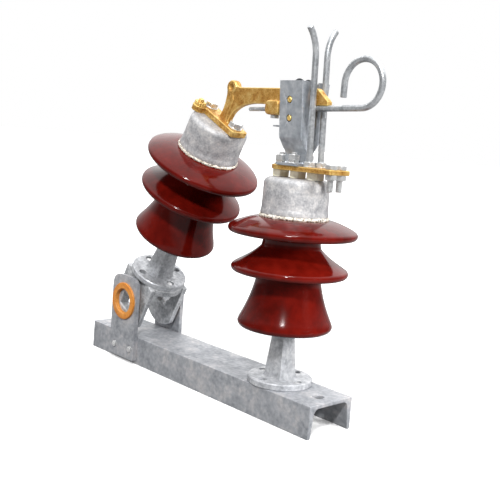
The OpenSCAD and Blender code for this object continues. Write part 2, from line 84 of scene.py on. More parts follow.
class Bench:
    """Hand tools: each method works on one object with operators, in millimetres."""

    @staticmethod
    def clear() -> None:
        """Leaves edit mode and deselects everything."""
        if bpy.context.mode != "OBJECT":
            bpy.ops.object.mode_set(mode="OBJECT")
        bpy.ops.object.select_all(action="DESELECT")

    @staticmethod
    def pick(piece: bpy.types.Object) -> None:
        """Makes one object the only selected and active one.

        Args:
            piece: the object.
        """
        Bench.clear()
        piece.select_set(True)
        bpy.context.view_layer.objects.active = piece

    @staticmethod
    def edit(piece: bpy.types.Object, mode: str = "VERT") -> None:
        """Opens an object in edit mode with all of it selected.

        Args:
            piece: the object.
            mode: VERT, EDGE or FACE.
        """
        Bench.pick(piece)
        bpy.ops.object.mode_set(mode="EDIT")
        bpy.ops.mesh.select_mode(type=mode)
        bpy.ops.mesh.select_all(action="SELECT")

    @staticmethod
    def chain(name: str, points: Sequence[Point]) -> bpy.types.Object:
        """Draws a chain of edges point by point and leaves it in edit mode.

        Args:
            name: name of the new object.
            points: its corners, in millimetres.

        Returns:
            The object, with every vertex selected.
        """
        Bench.clear()
        bpy.ops.mesh.primitive_plane_add(size=1.0, location=(0, 0, 0))
        piece = bpy.context.active_object
        piece.name = piece.data.name = name
        Bench.edit(piece)
        bpy.ops.mesh.merge(type="CENTER")
        last = Vector(points[0])
        bpy.ops.transform.translate(value=last)
        for point in points[1:]:
            step = Vector(point) - last
            bpy.ops.mesh.extrude_region_move(TRANSFORM_OT_translate={"value": step})
            last = Vector(point)
        bpy.ops.mesh.select_all(action="SELECT")
        return piece

    @staticmethod
    def close() -> None:
        """Merges doubles, turns the faces outwards and leaves edit mode."""
        bpy.ops.mesh.select_all(action="SELECT")
        bpy.ops.mesh.remove_doubles(threshold=0.002)
        bpy.ops.mesh.normals_make_consistent(inside=False)
        bpy.ops.object.mode_set(mode="OBJECT")

    @staticmethod
    def lathe(name: str, outline: Profile, steps: int = 64) -> bpy.types.Object:
        """Spins an outline of (radius, height) about the Z axis.

        Args:
            name: name of the new object.
            outline: its points; an outline that doesn't end on the axis is closed to a ring.
            steps: how many segments the turn has.

        Returns:
            The turned object.
        """
        points = [(r, 0.0, z) for r, z in outline]
        if outline[0][0] > 0.01 and outline[0] != outline[-1]:
            points.append(points[0])
        piece = Bench.chain(name, points)
        bpy.ops.mesh.spin(steps=steps, angle=math.tau, center=(0, 0, 0), axis=(0, 0, 1))
        Bench.close()
        return piece

    @staticmethod
    def slab(name: str, outline: Profile, depth: float) -> bpy.types.Object:
        """Extrudes a closed outline of (x, y) upwards from z = 0.

        Args:
            name: name of the new object.
            outline: its corners in turn.
            depth: the thickness.

        Returns:
            The flat object.
        """
        piece = Bench.chain(name, [(x, y, 0.0) for x, y in outline])
        bpy.ops.mesh.edge_face_add()
        bpy.ops.mesh.extrude_region_move(TRANSFORM_OT_translate={"value": (0, 0, depth)})
        Bench.close()
        return piece

    @staticmethod
    def drum(name: str, radius: float, height: float, sides: int = 48) -> bpy.types.Object:
        """A plain upright cylinder on z = 0, for cutting or as a start.

        Args:
            name: name of the new object.
            radius: its radius to the corners.
            height: its height.
            sides: number of sides.

        Returns:
            The cylinder.
        """
        Bench.clear()
        bpy.ops.mesh.primitive_cylinder_add(vertices=sides, radius=radius, depth=height,
                                            location=(0, 0, height / 2))
        piece = bpy.context.active_object
        piece.name = piece.data.name = name
        Bench.settle(piece)
        return piece

    @staticmethod
    def block(name: str, low: Point, high: Point) -> bpy.types.Object:
        """A box between two corners, for cutting or as a start.

        Args:
            name: name of the new object.
            low: its lowest corner.
            high: its highest corner.

        Returns:
            The box.
        """
        Bench.clear()
        middle = [(a + b) / 2 for a, b in zip(low, high)]
        size = [b - a for a, b in zip(low, high)]
        bpy.ops.mesh.primitive_cube_add(size=1.0, location=middle, scale=size)
        piece = bpy.context.active_object
        piece.name = piece.data.name = name
        Bench.settle(piece)
        return piece

    @staticmethod
    def settle(piece: bpy.types.Object) -> None:
        """Puts an object's place, turn and size into its mesh."""
        Bench.pick(piece)
        bpy.ops.object.transform_apply(location=True, rotation=True, scale=True)

    @staticmethod
    def move(piece: bpy.types.Object, place: Matrix) -> bpy.types.Object:
        """Moves an object by a matrix and settles it.

        Args:
            piece: the object.
            place: where it goes.

        Returns:
            The same object.
        """
        piece.matrix_world = place @ piece.matrix_world
        Bench.settle(piece)
        return piece

    @staticmethod
    def mirror_y(piece: bpy.types.Object) -> bpy.types.Object:
        """Mirrors a settled object across the channel and turns its faces outwards again.

        Args:
            piece: the object.

        Returns:
            The same object.
        """
        Bench.move(piece, Matrix.Diagonal((1, -1, 1, 1)))
        Bench.edit(piece)
        bpy.ops.mesh.normals_make_consistent(inside=False)
        bpy.ops.object.mode_set(mode="OBJECT")
        return piece

    @staticmethod
    def modify(piece: bpy.types.Object, kind: str, **values: object) -> None:
        """Adds a modifier, sets it and applies it.

        Args:
            piece: the object.
            kind: Blender's name for the modifier's type.
            values: its settings.
        """
        Bench.pick(piece)
        modifier = piece.modifiers.new(kind.title(), kind)
        for key, value in values.items():
            setattr(modifier, key, value)
        bpy.ops.object.modifier_apply(modifier=modifier.name)

    @staticmethod
    def bevel(piece: bpy.types.Object, width: float, segments: int = 2, angle: float = 30) -> None:
        """Rounds the edges that are sharper than an angle."""
        Bench.modify(piece, "BEVEL", width=width, segments=segments, limit_method="ANGLE",
                     angle_limit=math.radians(angle), use_clamp_overlap=True)

    @staticmethod
    def cut(piece: bpy.types.Object, *tools: bpy.types.Object, how: str = "DIFFERENCE") -> None:
        """Cuts, joins or crosses an object with others, which are then removed.

        Args:
            piece: the object.
            tools: the others.
            how: DIFFERENCE, UNION or INTERSECT.
        """
        for tool in tools:
            Bench.modify(piece, "BOOLEAN", operation=how, object=tool, solver="EXACT")
            bpy.data.objects.remove(tool)

    @staticmethod
    def join(name: str, pieces: Sequence[bpy.types.Object]) -> bpy.types.Object:
        """Joins several objects into one.

        Args:
            name: name of the result.
            pieces: the objects.

        Returns:
            The joined object.
        """
        Bench.clear()
        for piece in pieces:
            piece.select_set(True)
        bpy.context.view_layer.objects.active = pieces[0]
        if len(pieces) > 1:
            bpy.ops.object.join()
        whole = bpy.context.active_object
        whole.name = whole.data.name = name
        return whole

    @staticmethod
    def bundle(name: str, pieces: Sequence[bpy.types.Object],
               angle: float = CRISP) -> bpy.types.Object:
        """Joins several objects into one and shades it.

        Args:
            name: name of the result.
            pieces: the objects.
            angle: the faces that meet at less are shaded smooth, in degrees.

        Returns:
            The joined object.
        """
        whole = Bench.join(name, pieces)
        Bench.smooth(whole, angle)
        return whole

    @staticmethod
    def cast(piece: bpy.types.Object, voxel: float, rounds: int,
             *lumps: tuple[float, float]) -> None:
        """Melts an object into one uneven skin with soft corners, as a casting has.

        Args:
            piece: the object, of closed solids.
            voxel: size of the grid.
            rounds: how often the skin is smoothed.
            lumps: (size, depth) of each unevenness, the widest first.
        """
        Bench.modify(piece, "REMESH", mode="VOXEL", voxel_size=voxel, use_smooth_shade=True)
        Bench.modify(piece, "SMOOTH", factor=0.5, iterations=rounds)
        for size, depth in lumps:
            Bench.roughen(piece, size, depth)
        Bench.smooth(piece, SEAMLESS)

    @staticmethod
    def roughen(piece: bpy.types.Object, size: float, depth: float) -> None:
        """Presses a cloudy unevenness into a dense skin.

        Args:
            piece: the object.
            size: size of the lumps.
            depth: how deep they are.
        """
        clouds = bpy.data.textures.new(f"{piece.name}_lumps", "CLOUDS")
        clouds.noise_scale = size
        clouds.noise_depth = 2
        Bench.modify(piece, "DISPLACE", texture=clouds, strength=depth, mid_level=0.5,
                     texture_coords="LOCAL")
        bpy.data.textures.remove(clouds)

    @staticmethod
    def smooth(piece: bpy.types.Object, angle: float = 35) -> None:
        """Shades an object smooth where its faces meet at less than an angle.

        Args:
            piece: the object.
            angle: the angle, in degrees.
        """
        Bench.pick(piece)
        bpy.ops.object.shade_smooth_by_angle(angle=math.radians(angle))
        if angle < SEAMLESS:
            Bench.modify(piece, "WEIGHTED_NORMAL", keep_sharp=True)


def shift(x: float = 0, y: float = 0, z: float = 0) -> Matrix:
    """A move in millimetres."""
    return Matrix.Translation((x, y, z))


def turn(degrees: float, axis: str) -> Matrix:
    """A turn about X, Y or Z."""
    return Matrix.Rotation(math.radians(degrees), 4, axis)


def arc(cx: float, cy: float, r: float, a0: float, a1: float, n: int) -> Profile:
    """Points of an arc.

    Args:
        cx: centre.
        cy: centre.
        r: radius.
        a0: first angle, in degrees.
        a1: last angle, in degrees.
        n: number of steps.

    Returns:
        n + 1 points.
    """
    out = []
    for i in range(n + 1):
        a = math.radians(a0 + (a1 - a0) * i / n)
        out.append((cx + r * math.cos(a), cy + r * math.sin(a)))
    return out


def bend(p: tuple[float, float], q: tuple[float, float], s: tuple[float, float], n: int) -> Profile:
    """Inner points of a quadratic curve from p to s that aims at q.

    Args:
        p: first end, which is left out.
        q: the point it aims at.
        s: last end, which is left out.
        n: number of steps.

    Returns:
        n - 1 points.
    """
    out = []
    for i in range(1, n):
        t = i / n
        near, aim, far = (1 - t) ** 2, 2 * t * (1 - t), t * t
        out.append(tuple(near * p[k] + aim * q[k] + far * s[k] for k in (0, 1)))
    return out


def rounded(corners: Sequence[tuple[float, float, float]], n: int = 5) -> Profile:
    """A closed outline with rounded corners.

    Args:
        corners: (x, y, radius) of each corner in turn.
        n: steps in each rounding.

    Returns:
        The outline.
    """
    out: Profile = []
    count = len(corners)
    for i, (x, y, r) in enumerate(corners):
        here = Vector((x, y))
        before = (Vector(corners[i - 1][:2]) - here).normalized()
        after = (Vector(corners[(i + 1) % count][:2]) - here).normalized()
        if r <= 0:
            out.append((x, y))
            continue
        half = before.angle(after) / 2
        reach = r / math.tan(half)
        start, end = here + before * reach, here + after * reach
        out.append(tuple(start))
        out.extend(bend(tuple(start), (x, y), tuple(end), n))
        out.append(tuple(end))
    return out


# ---------------------------------------------------------------- finishes


class NodeSheet:
    """Short ways to lay nodes in a material or a node group."""

    def __init__(self, tree: bpy.types.NodeTree) -> None:
        """Keeps the tree."""
        self.tree = tree

    def add(self, kind: str, sockets: dict[object, object] | None = None,
            **values: object) -> bpy.types.Node:
        """Adds a node, sets its properties and fills its sockets.

        Args:
            kind: type of the node.
            sockets: what goes to each input, by its name or number.
            values: its properties.

        Returns:
            The node.
        """
        node = self.tree.nodes.new(kind)
        for key, value in values.items():
            setattr(node, key, value)
        for key, value in (sockets or {}).items():
            self.feed(node.inputs[key], value)
        return node

    def use(self, name: str, sockets: dict[str, object]) -> bpy.types.Node:
        """Adds a node that runs one of the shared groups."""
        return self.add("ShaderNodeGroup", sockets, node_tree=bpy.data.node_groups[name])

    def feed(self, socket: bpy.types.NodeSocket, value: object) -> None:
        """Sets a socket to a value, or links an output to it.

        Args:
            socket: the input.
            value: a number, a colour or another node's output.
        """
        if isinstance(value, bpy.types.NodeSocket):
            self.tree.links.new(value, socket)
        else:
            socket.default_value = value

    def noise(self, where: object, scale: object, detail: float = 4,
              rough: float = 0.55) -> bpy.types.NodeSocket:
        """A noise mask from 0 to 1."""
        sockets = {"Vector": where, "Scale": scale, "Detail": detail, "Roughness": rough}
        return self.add("ShaderNodeTexNoise", sockets).outputs["Fac"]

    def cells(self, where: object, scale: object) -> bpy.types.NodeSocket:
        """A random level for each crystal-like cell, from 0 to 1."""
        cell = self.add("ShaderNodeTexVoronoi", {"Vector": where, "Scale": scale}, feature="F1")
        return self.add("ShaderNodeSeparateColor", {0: cell.outputs["Color"]}).outputs[0]

    def levels(self, value: object, low: float, high: float, to_low: float = 0,
               to_high: float = 1) -> bpy.types.NodeSocket:
        """Stretches a mask between two levels."""
        sockets = {"Value": value, "From Min": low, "From Max": high, "To Min": to_low,
                   "To Max": to_high}
        return self.add("ShaderNodeMapRange", sockets, clamp=True).outputs["Result"]

    def maths(self, how: str, a: object, b: object) -> bpy.types.NodeSocket:
        """One sum on two values."""
        return self.add("ShaderNodeMath", {0: a, 1: b}, operation=how).outputs[0]

    def blend(self, a: object, b: object, share: float) -> bpy.types.NodeSocket:
        """The sum of a share of one mask and the rest of another."""
        rest = self.maths("MULTIPLY", b, 1 - share)
        return self.maths("ADD", self.maths("MULTIPLY", a, share), rest)

    def mix(self, share: object, a: object, b: object) -> bpy.types.NodeSocket:
        """A blend of two colours."""
        return self.add("ShaderNodeMix", {0: share, 6: a, 7: b}, data_type="RGBA").outputs[2]


Sockets = Sequence[tuple[str, str]]
Group = tuple[bpy.types.NodeTree, NodeSheet, bpy.types.Node, bpy.types.Node]


def group(name: str, inputs: Sockets, outputs: Sockets) -> Group:
    """Starts a shader node group.

    Args:
        name: its name.
        inputs: (name, socket type) of each input.
        outputs: (name, socket type) of each output.

    Returns:
        The tree, a sheet on it, its input node and its output node.
    """
    tree = bpy.data.node_groups.new(name, "ShaderNodeTree")
    for label, kind in inputs:
        tree.interface.new_socket(name=label, in_out="INPUT", socket_type=kind)
    for label, kind in outputs:
        tree.interface.new_socket(name=label, in_out="OUTPUT", socket_type=kind)
    sheet = NodeSheet(tree)
    return tree, sheet, sheet.add("NodeGroupInput"), sheet.add("NodeGroupOutput")


FLOAT, COLOUR, VECTOR = "NodeSocketFloat", "NodeSocketColor", "NodeSocketVector"


def make_mottle() -> bpy.types.NodeTree:
    """Blotches at two scales that blend three colours.

    Returns:
        The node group.
    """
    tree, sheet, given, out = group("mottle",
                                    [("Vector", VECTOR), ("Scale", FLOAT), ("Dark", COLOUR),
                                     ("Plain", COLOUR), ("Light", COLOUR)],
                                    [("Color", COLOUR), ("Mask", FLOAT)])
    place, scale = given.outputs["Vector"], given.outputs["Scale"]
    wide = sheet.add("ShaderNodeTexNoise", {"Vector": place, "Scale": scale, "Detail": 3})
    close = sheet.maths("MULTIPLY", scale, 5.3)
    fine = sheet.add("ShaderNodeTexNoise", {"Vector": place, "Scale": close, "Detail": 6})
    both = sheet.blend(wide.outputs["Fac"], fine.outputs["Fac"], 0.55)
    low = sheet.levels(both, 0.36, 0.5)
    high = sheet.levels(both, 0.5, 0.64)
    under = sheet.mix(low, given.outputs["Dark"], given.outputs["Plain"])
    sheet.feed(out.inputs["Color"], sheet.mix(high, under, given.outputs["Light"]))
    sheet.feed(out.inputs["Mask"], sheet.levels(both, 0.36, 0.64))
    return tree


def make_spangle() -> bpy.types.NodeTree:
    """Zinc crystals: cells of slightly different brightness on a colour.

    Returns:
        The node group.
    """
    tree, sheet, given, out = group("spangle",
                                    [("Vector", VECTOR), ("Scale", FLOAT), ("Amount", FLOAT),
                                     ("Color", COLOUR)], [("Color", COLOUR), ("Mask", FLOAT)])
    place, scale = given.outputs["Vector"], given.outputs["Scale"]
    warp = sheet.add("ShaderNodeTexNoise", {"Vector": place, "Scale": 60}).outputs["Color"]
    wobble = sheet.add("ShaderNodeVectorMath", {0: warp, 1: (0.006, 0.006, 0.006), 2: place},
                       operation="MULTIPLY_ADD").outputs["Vector"]
    small = sheet.cells(wobble, sheet.maths("MULTIPLY", scale, 2.7))
    both = sheet.blend(sheet.cells(wobble, scale), small, 0.6)
    swing = sheet.maths("MULTIPLY", sheet.maths("SUBTRACT", both, 0.5), given.outputs["Amount"])
    scaled = sheet.add("ShaderNodeVectorMath",
                       {0: given.outputs["Color"], "Scale": sheet.maths("ADD", 1.0, swing)},
                       operation="SCALE")
    sheet.feed(out.inputs["Color"], scaled.outputs["Vector"])
    sheet.feed(out.inputs["Mask"], both)
    return tree


def make_wear_highlight_shade() -> bpy.types.NodeTree:
    """Edges lightened as rubbed wear plus a painted highlight, and hollows darkened as painted
    shade, from how sharply the skin curves.

    Returns:
        The node group.
    """
    tree, sheet, given, out = group("wear_highlight_shade",
                                    [("Color", COLOUR), ("Edge", COLOUR), ("Hollow", COLOUR),
                                     ("Amount", FLOAT)], [("Color", COLOUR), ("Mask", FLOAT)])
    bare, amount = given.outputs["Color"], given.outputs["Amount"]
    # Painted light: sharp edges get a painted highlight on top of rubbed wear, and hollows get
    # painted shade.
    sharp = sheet.add("ShaderNodeNewGeometry").outputs["Pointiness"]
    edge = sheet.levels(sharp, 0.505, 0.56)
    hollow = sheet.levels(sharp, 0.495, 0.44)
    rubbed_and_lit = sheet.mix(sheet.maths("MULTIPLY", edge, amount), bare, given.outputs["Edge"])
    shade_share = sheet.maths("MULTIPLY", hollow, amount)
    sheet.feed(out.inputs["Color"], sheet.mix(shade_share, rubbed_and_lit, given.outputs["Hollow"]))
    sheet.feed(out.inputs["Mask"], edge)
    return tree


def rgb(r: int, g: int, b: int) -> tuple[float, float, float, float]:
    """A screen colour, 0 to 255, as the linear colour that shaders take.

    Args:
        r: red.
        g: green.
        b: blue.

    Returns:
        The colour with full cover.
    """
    def linear(v: float) -> float:
        """One channel."""
        v /= 255
        return v / 12.92 if v <= 0.04045 else ((v + 0.055) / 1.055) ** 2.4
    return (linear(r), linear(g), linear(b), 1.0)


@dataclass(frozen=True)
class Finish:
    """One finish: colours, gloss and the unevenness of its skin.

    Attributes:
        name: name of the material.
        dark: colour of its darker blotches.
        plain: main colour.
        light: colour of its lighter blotches.
        blotch: how many blotches to a metre.
        metal: how metallic it is.
        rough: roughness at its smoothest and at its roughest.
        spangle: scale of its crystals, or 0.
        spangle_amount: how much the crystals differ.
        edge: colour of the edges, rubbed wear plus a painted highlight.
        hollow: colour of the hollows, a painted shade.
        wear_and_painted_light: how strongly the painted edge highlight and the painted hollow shade
            show.
        grain: scale of the fine grain.
        grain_height: height of the fine grain, in metres.
        dent: height of the wide unevenness, in metres.
        mirror: strength of the mirroring of a skin that isn't metal.
        coat: weight of a clear coat.
        coat_rough: roughness of that coat.
        flecks: colour of sparse flecks, or None.
    """

    name: str
    dark: tuple[int, int, int]
    plain: tuple[int, int, int]
    light: tuple[int, int, int]
    blotch: float = 45
    metal: float = 0.0
    rough: tuple[float, float] = (0.4, 0.6)
    spangle: float = 0
    spangle_amount: float = 0.25
    edge: tuple[int, int, int] = (255, 255, 255)
    hollow: tuple[int, int, int] = (20, 20, 20)
    wear_and_painted_light: float = 0.0
    grain: float = 900
    grain_height: float = 0.0
    dent: float = 0.0
    mirror: float = 0.5
    coat: float = 0.0
    coat_rough: float = 0.05
    flecks: tuple[int, int, int] | None = None

    def build(self) -> bpy.types.Material:
        """Makes the material.

        Returns:
            The material.
        """
        material = bpy.data.materials.new(self.name)
        material.use_nodes = True
        sheet = NodeSheet(material.node_tree)
        shader = material.node_tree.nodes["Principled BSDF"]
        for label, value in (("Metallic", self.metal), ("Specular IOR Level", self.mirror),
                             ("Coat Weight", self.coat), ("Coat Roughness", self.coat_rough)):
            sheet.feed(shader.inputs[label], value)
        place = sheet.add("ShaderNodeTexCoord").outputs["Object"]
        mottle = sheet.use("mottle",
                           {"Vector": place, "Scale": self.blotch, "Dark": rgb(*self.dark),
                            "Plain": rgb(*self.plain), "Light": rgb(*self.light)})
        colour, mask = mottle.outputs["Color"], mottle.outputs["Mask"]
        if self.spangle:
            crystals = sheet.use("spangle",
                                 {"Vector": place, "Scale": self.spangle,
                                  "Amount": self.spangle_amount, "Color": colour})
            colour = crystals.outputs["Color"]
            mask = sheet.blend(mask, crystals.outputs["Mask"], 0.5)
        if self.flecks:
            dots = sheet.levels(sheet.noise(place, self.grain * 0.8, 1), 0.56, 0.6)
            colour = sheet.mix(dots, colour, rgb(*self.flecks))
        # Painted light: the edge colour is rubbed wear plus a painted highlight, and the hollow
        # colour is painted shade.
        if self.wear_and_painted_light:
            wear_highlight_shade = sheet.use("wear_highlight_shade",
                             {"Color": colour, "Edge": rgb(*self.edge), "Hollow": rgb(*self.hollow),
                              "Amount": self.wear_and_painted_light})
            colour = wear_highlight_shade.outputs["Color"]
        gloss = sheet.levels(mask, 0.0, 1.0, self.rough[1], self.rough[0])
        sheet.feed(shader.inputs["Base Color"], colour)
        sheet.feed(shader.inputs["Roughness"], gloss)
        skin = {}
        for height, scale, detail in ((self.dent, self.blotch * 1.6, 2),
                                      (self.grain_height, self.grain, 3)):
            if height:
                relief = sheet.noise(place, scale, detail)
                bump = sheet.add("ShaderNodeBump", {"Height": relief, "Distance": height, **skin})
                skin = {"Normal": bump.outputs["Normal"]}
        for label, value in skin.items():
            sheet.feed(shader.inputs[label], value)
        return material


# Finishes with edge, hollow and wear values get a painted highlight on sharp edges, with rubbed
# wear, and painted shade in hollows. cast_iron and cap_metal give these values by position.
FINISHES = {
    "galvanised": Finish("galvanised", (142, 145, 150), (168, 170, 175), (194, 192, 193), 34, 0.35,
                         (0.42, 0.62), 150, 0.2, grain=700, grain_height=0.00006, dent=0.0004),
    "sheet_zinc": Finish("sheet_zinc", (150, 155, 162), (174, 179, 185), (200, 203, 207), 30, 0.6,
                         (0.3, 0.5), 180, 0.12, grain=900, grain_height=0.00004, dent=0.0005),
    "zinc_bolt": Finish("zinc_bolt", (176, 178, 178), (214, 215, 215), (244, 244, 242), 120, 0.8,
                        (0.22, 0.45), edge=(245, 245, 245), hollow=(70, 70, 68), wear_and_painted_light=0.5,
                        grain=1500, grain_height=0.00005),
    "rod_zinc": Finish("rod_zinc", (146, 149, 152), (180, 183, 186), (212, 214, 216), 60, 0.7,
                       (0.28, 0.42), grain=1200, grain_height=0.00004, dent=0.0003),
    "spring_steel": Finish("spring_steel", (78, 82, 86), (104, 108, 112), (130, 133, 136), 80, 0.9,
                           (0.3, 0.5), grain=1500, grain_height=0.00003),
    "cast_iron": Finish("cast_iron", (140, 143, 146), (182, 184, 187), (218, 219, 221), 55, 0.35,
                        (0.4, 0.68), 120, 0.14, (218, 220, 222), (64, 66, 68), 0.7, 420, 0.00028,
                        0.0007),
    "stem_zinc": Finish("stem_zinc", (152, 154, 158), (188, 190, 194), (216, 217, 219), 45, 0.4,
                        (0.35, 0.6), 160, 0.22, grain=420, grain_height=0.00012, dent=0.0003),
    "cap_metal": Finish("cap_metal", (146, 147, 150), (180, 180, 182), (210, 208, 206), 75, 0.3,
                        (0.46, 0.7), 220, 0.14, (215, 215, 214), (110, 110, 108), 0.5, 520, 0.0002,
                        0.0005),
    "brass": Finish("brass", (158, 106, 44), (200, 152, 76), (232, 198, 126), 95, 0.6, (0.34, 0.6),
                    edge=(250, 222, 140), hollow=(84, 50, 16), wear_and_painted_light=0.8, grain=650,
                    grain_height=0.00018, dent=0.0005),
    "packing": Finish("packing", (222, 214, 182), (240, 234, 208), (250, 246, 230), 70, 0.0,
                      (0.35, 0.5), edge=(250, 248, 235), hollow=(120, 108, 80), wear_and_painted_light=0.4,
                      grain=1200, grain_height=0.00003),
    "bush": Finish("bush", (176, 92, 10), (206, 118, 20), (222, 142, 40), 60, 0.0, (0.4, 0.55),
                   edge=(246, 190, 110), hollow=(110, 50, 6), wear_and_painted_light=0.35, grain=900,
                   grain_height=0.00004, coat=0.15, coat_rough=0.3),
    "porcelain": Finish("porcelain", (74, 9, 4), (90, 12, 6), (102, 17, 9), 18, 0.0, (0.1, 0.16),
                        grain=300, grain_height=0.00001, dent=0.0003, mirror=0.2),
    "cement": Finish("cement", (92, 74, 58), (196, 184, 160), (246, 243, 236), 150, 0.0,
                     (0.8, 0.95), edge=(244, 240, 230), hollow=(74, 62, 50), wear_and_painted_light=0.9, grain=420,
                     grain_height=0.0006, dent=0.0008, flecks=(58, 44, 36)),
}


class Stock:
    """Keeps each material once, by name."""

    def __init__(self) -> None:
        """Starts the shared node groups."""
        make_mottle()
        make_spangle()
        make_wear_highlight_shade()
        self.made: dict[str, bpy.types.Material] = {}

    def get(self, name: str) -> bpy.types.Material:
        """The material of a finish, built at its first use."""
        if name not in self.made:
            self.made[name] = FINISHES[name].build()
        return self.made[name]


STOCK = Stock()


def deliver(piece: bpy.types.Object, name: str, finish: str, body: str, slot: str,
            *nodes: str) -> bpy.types.Object:
    """Scales a finished piece to metres, dresses it and hands it to its body.

    Args:
        piece: the settled piece, in millimetres in the shared frame.
        name: its name.
        finish: its finish.
        body: the CAD body that it rides on.
        slot: the record's material slot; not used.
        nodes: the CAD nodes that it stands for.

    Returns:
        The piece.
    """
    Bench.move(piece, Matrix.Scale(MM, 4))
    piece.name = piece.data.name = name
    piece.data.materials.clear()
    piece.data.materials.append(STOCK.get(finish))
    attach(piece, body)
    if nodes:
        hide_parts(*nodes)
    log.info("%s: %d faces, rides on %s", name, len(piece.data.polygons), body)
    return piece


# ---------------------------------------------------------------- places shared by the assemblies


def box_mm(node: str) -> tuple[Vector, Vector]:
    """Corners of a CAD node, in millimetres."""
    low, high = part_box(node)
    return low / MM, high / MM


@dataclass(frozen=True)
class Layout:
    """Where the assemblies meet, in millimetres.

    Attributes:
        half_w: half of the channel's width.
        base_h: height of its web.
        half_len: half of its length.
        fixed_x: place of the fixed post.
        pivot: the pivot.
        lean: lean of the tilting post, in degrees.
        seat: distance from the pivot to the tilting post's foot.
        post_h: height of a post.
        term_low: underside of the terminal plate, above the fixed post's foot.
        term_top: its top.
    """

    half_w: float
    base_h: float
    half_len: float
    fixed_x: float
    pivot: Vector
    lean: float = 26.7
    seat: float = 44
    post_h: float = 254
    term_low: float = 263
    term_top: float = 269

    @property
    def fixed(self) -> Matrix:
        """Frame of the fixed post."""
        return shift(self.fixed_x, 0, self.base_h)

    @property
    def carrier(self) -> Matrix:
        """Frame of the tilting carrier, at the pivot."""
        return Matrix.Translation(self.pivot) @ turn(self.lean, "Y")

    @property
    def tilted(self) -> Matrix:
        """Frame of the tilting post."""
        return self.carrier @ shift(0, 0, self.seat)

    def over(self, u: float, h: float) -> tuple[float, float]:
        """Where a place on the tilting post stands along the channel."""
        spot = self.tilted @ Vector((u, 0, h))
        return spot.x, spot.z


def read_layout() -> Layout:
    """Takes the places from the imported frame.

    Returns:
        The layout.
    """
    low, high = box_mm("base_channel")
    cap_low, cap_high = box_mm("fixed_cap")
    plate_low, plate_high = box_mm("terminal_plate")
    pivot = Vector(frame["joints"][0]["pos_m"]) / MM
    return Layout(half_w=high.y, base_h=high.z, half_len=high.x,
                  fixed_x=(cap_low.x + cap_high.x) / 2, pivot=pivot, post_h=cap_high.z - high.z,
                  term_low=plate_low.z - high.z, term_top=plate_high.z - high.z)


LAY = read_layout()
# A flat slab's x, y and z come to lie along Y, Z and X, or along X, Z and -Y
ALONG_X = Matrix(((0, 0, 1, 0), (1, 0, 0, 0), (0, 1, 0, 0), (0, 0, 0, 1)))
UPRIGHT = turn(90, "X")


class Fasteners:
    """Nuts, washers and threaded shanks, all standing on z = 0."""

    @staticmethod
    def nut(thread: Thread, height: float | None = None, spin: float = 0) -> bpy.types.Object:
        """A hexagon whose corners are chamfered to a circle on both faces."""
        half, tall, _ = thread.value
        return Fasteners.hexagon(half, height or tall, spin)

    @staticmethod
    def hexagon(half: float, tall: float, spin: float = 0) -> bpy.types.Object:
        """The same, from half of a spanner size.

        Args:
            half: half of the spanner size.
            tall: its height.
            spin: turn about its axis, in degrees.

        Returns:
            The hexagon.
        """
        corner = half / math.cos(math.pi / 6)
        body = Bench.drum("nut", corner, tall, 6)
        Bench.move(body, turn(30 + spin, "Z"))
        flat, drop = half * 0.95, (corner - half * 0.95) * 0.55
        cone = Bench.lathe("cone",
                           [(0, 0), (flat, 0), (corner + 0.1, drop), (corner + 0.1, tall - drop),
                            (flat, tall), (0, tall)], 48)
        Bench.cut(body, cone, how="INTERSECT")
        Bench.bevel(body, 0.25, 1, 25)
        return body

    @staticmethod
    def washer(outer: float, inner: float, tall: float) -> bpy.types.Object:
        """A flat washer with softened edges."""
        soft = min(0.35, tall / 3)
        return Bench.lathe("washer",
                           [(inner, 0), (outer - soft, 0), (outer, soft), (outer, tall - soft),
                            (outer - soft, tall), (inner, tall)], 48)

    @staticmethod
    def lock(outer: float, inner: float, tall: float) -> bpy.types.Object:
        """A spring washer: a ring cut through and twisted a little.

        Args:
            outer: outer radius.
            inner: inner radius.
            tall: its height.

        Returns:
            The washer.
        """
        ring = Bench.lathe("lock", [(inner, 0), (outer, 0), (outer, tall), (inner, tall)], 36)
        slot = Bench.block("slot", (0, -0.5, -1), (outer + 1, 0.5, tall + 1))
        Bench.move(slot, turn(-50, "Z") @ turn(18, "X"))
        Bench.cut(ring, slot)
        Bench.bevel(ring, 0.2, 1, 40)
        return ring

    @staticmethod
    def shank(radius: float, low: float, high: float, pitch: float = 1.4) -> bpy.types.Object:
        """A threaded shank with a chamfered tip.

        Args:
            radius: outer radius of the thread.
            low: its lowest point.
            high: its tip.
            pitch: distance between ridges.

        Returns:
            The shank.
        """
        root, z = radius - pitch * 0.42, low
        outline: Profile = [(0, low), (root, low)]
        while z + pitch < high - 1:
            outline += [(radius, z + pitch * 0.45), (radius, z + pitch * 0.6), (root, z + pitch)]
            z += pitch
        outline += [(root, high - 0.6), (root - 0.7, high), (0, high)]
        return Bench.lathe("shank", outline, 28)

    @staticmethod
    def stack(thread: Thread, below: float, spin: float) -> bpy.types.Object:
        """Washer, spring washer and nut round a shank that goes on below.

        Args:
            thread: its size.
            below: how far the shank goes below z = 0.
            spin: turn of the nut, in degrees.

        Returns:
            The joined stack.
        """
        half, tall, shank = thread.value
        flat, seat, proud = 1.6, 4, 3
        washer = Fasteners.washer(half + 1.2, shank - 0.3, flat)
        lock = Fasteners.lock(half - 0.6, shank - 0.3, 2.3)
        Bench.move(lock, shift(z=flat) @ turn(spin, "Z"))
        nut = Bench.move(Fasteners.nut(thread, spin=spin), shift(z=seat))
        shaft = Fasteners.shank(shank, -below, seat + tall + proud)
        return Bench.join("stack", [washer, lock, nut, shaft])


# ---------------------------------------------------------------- base


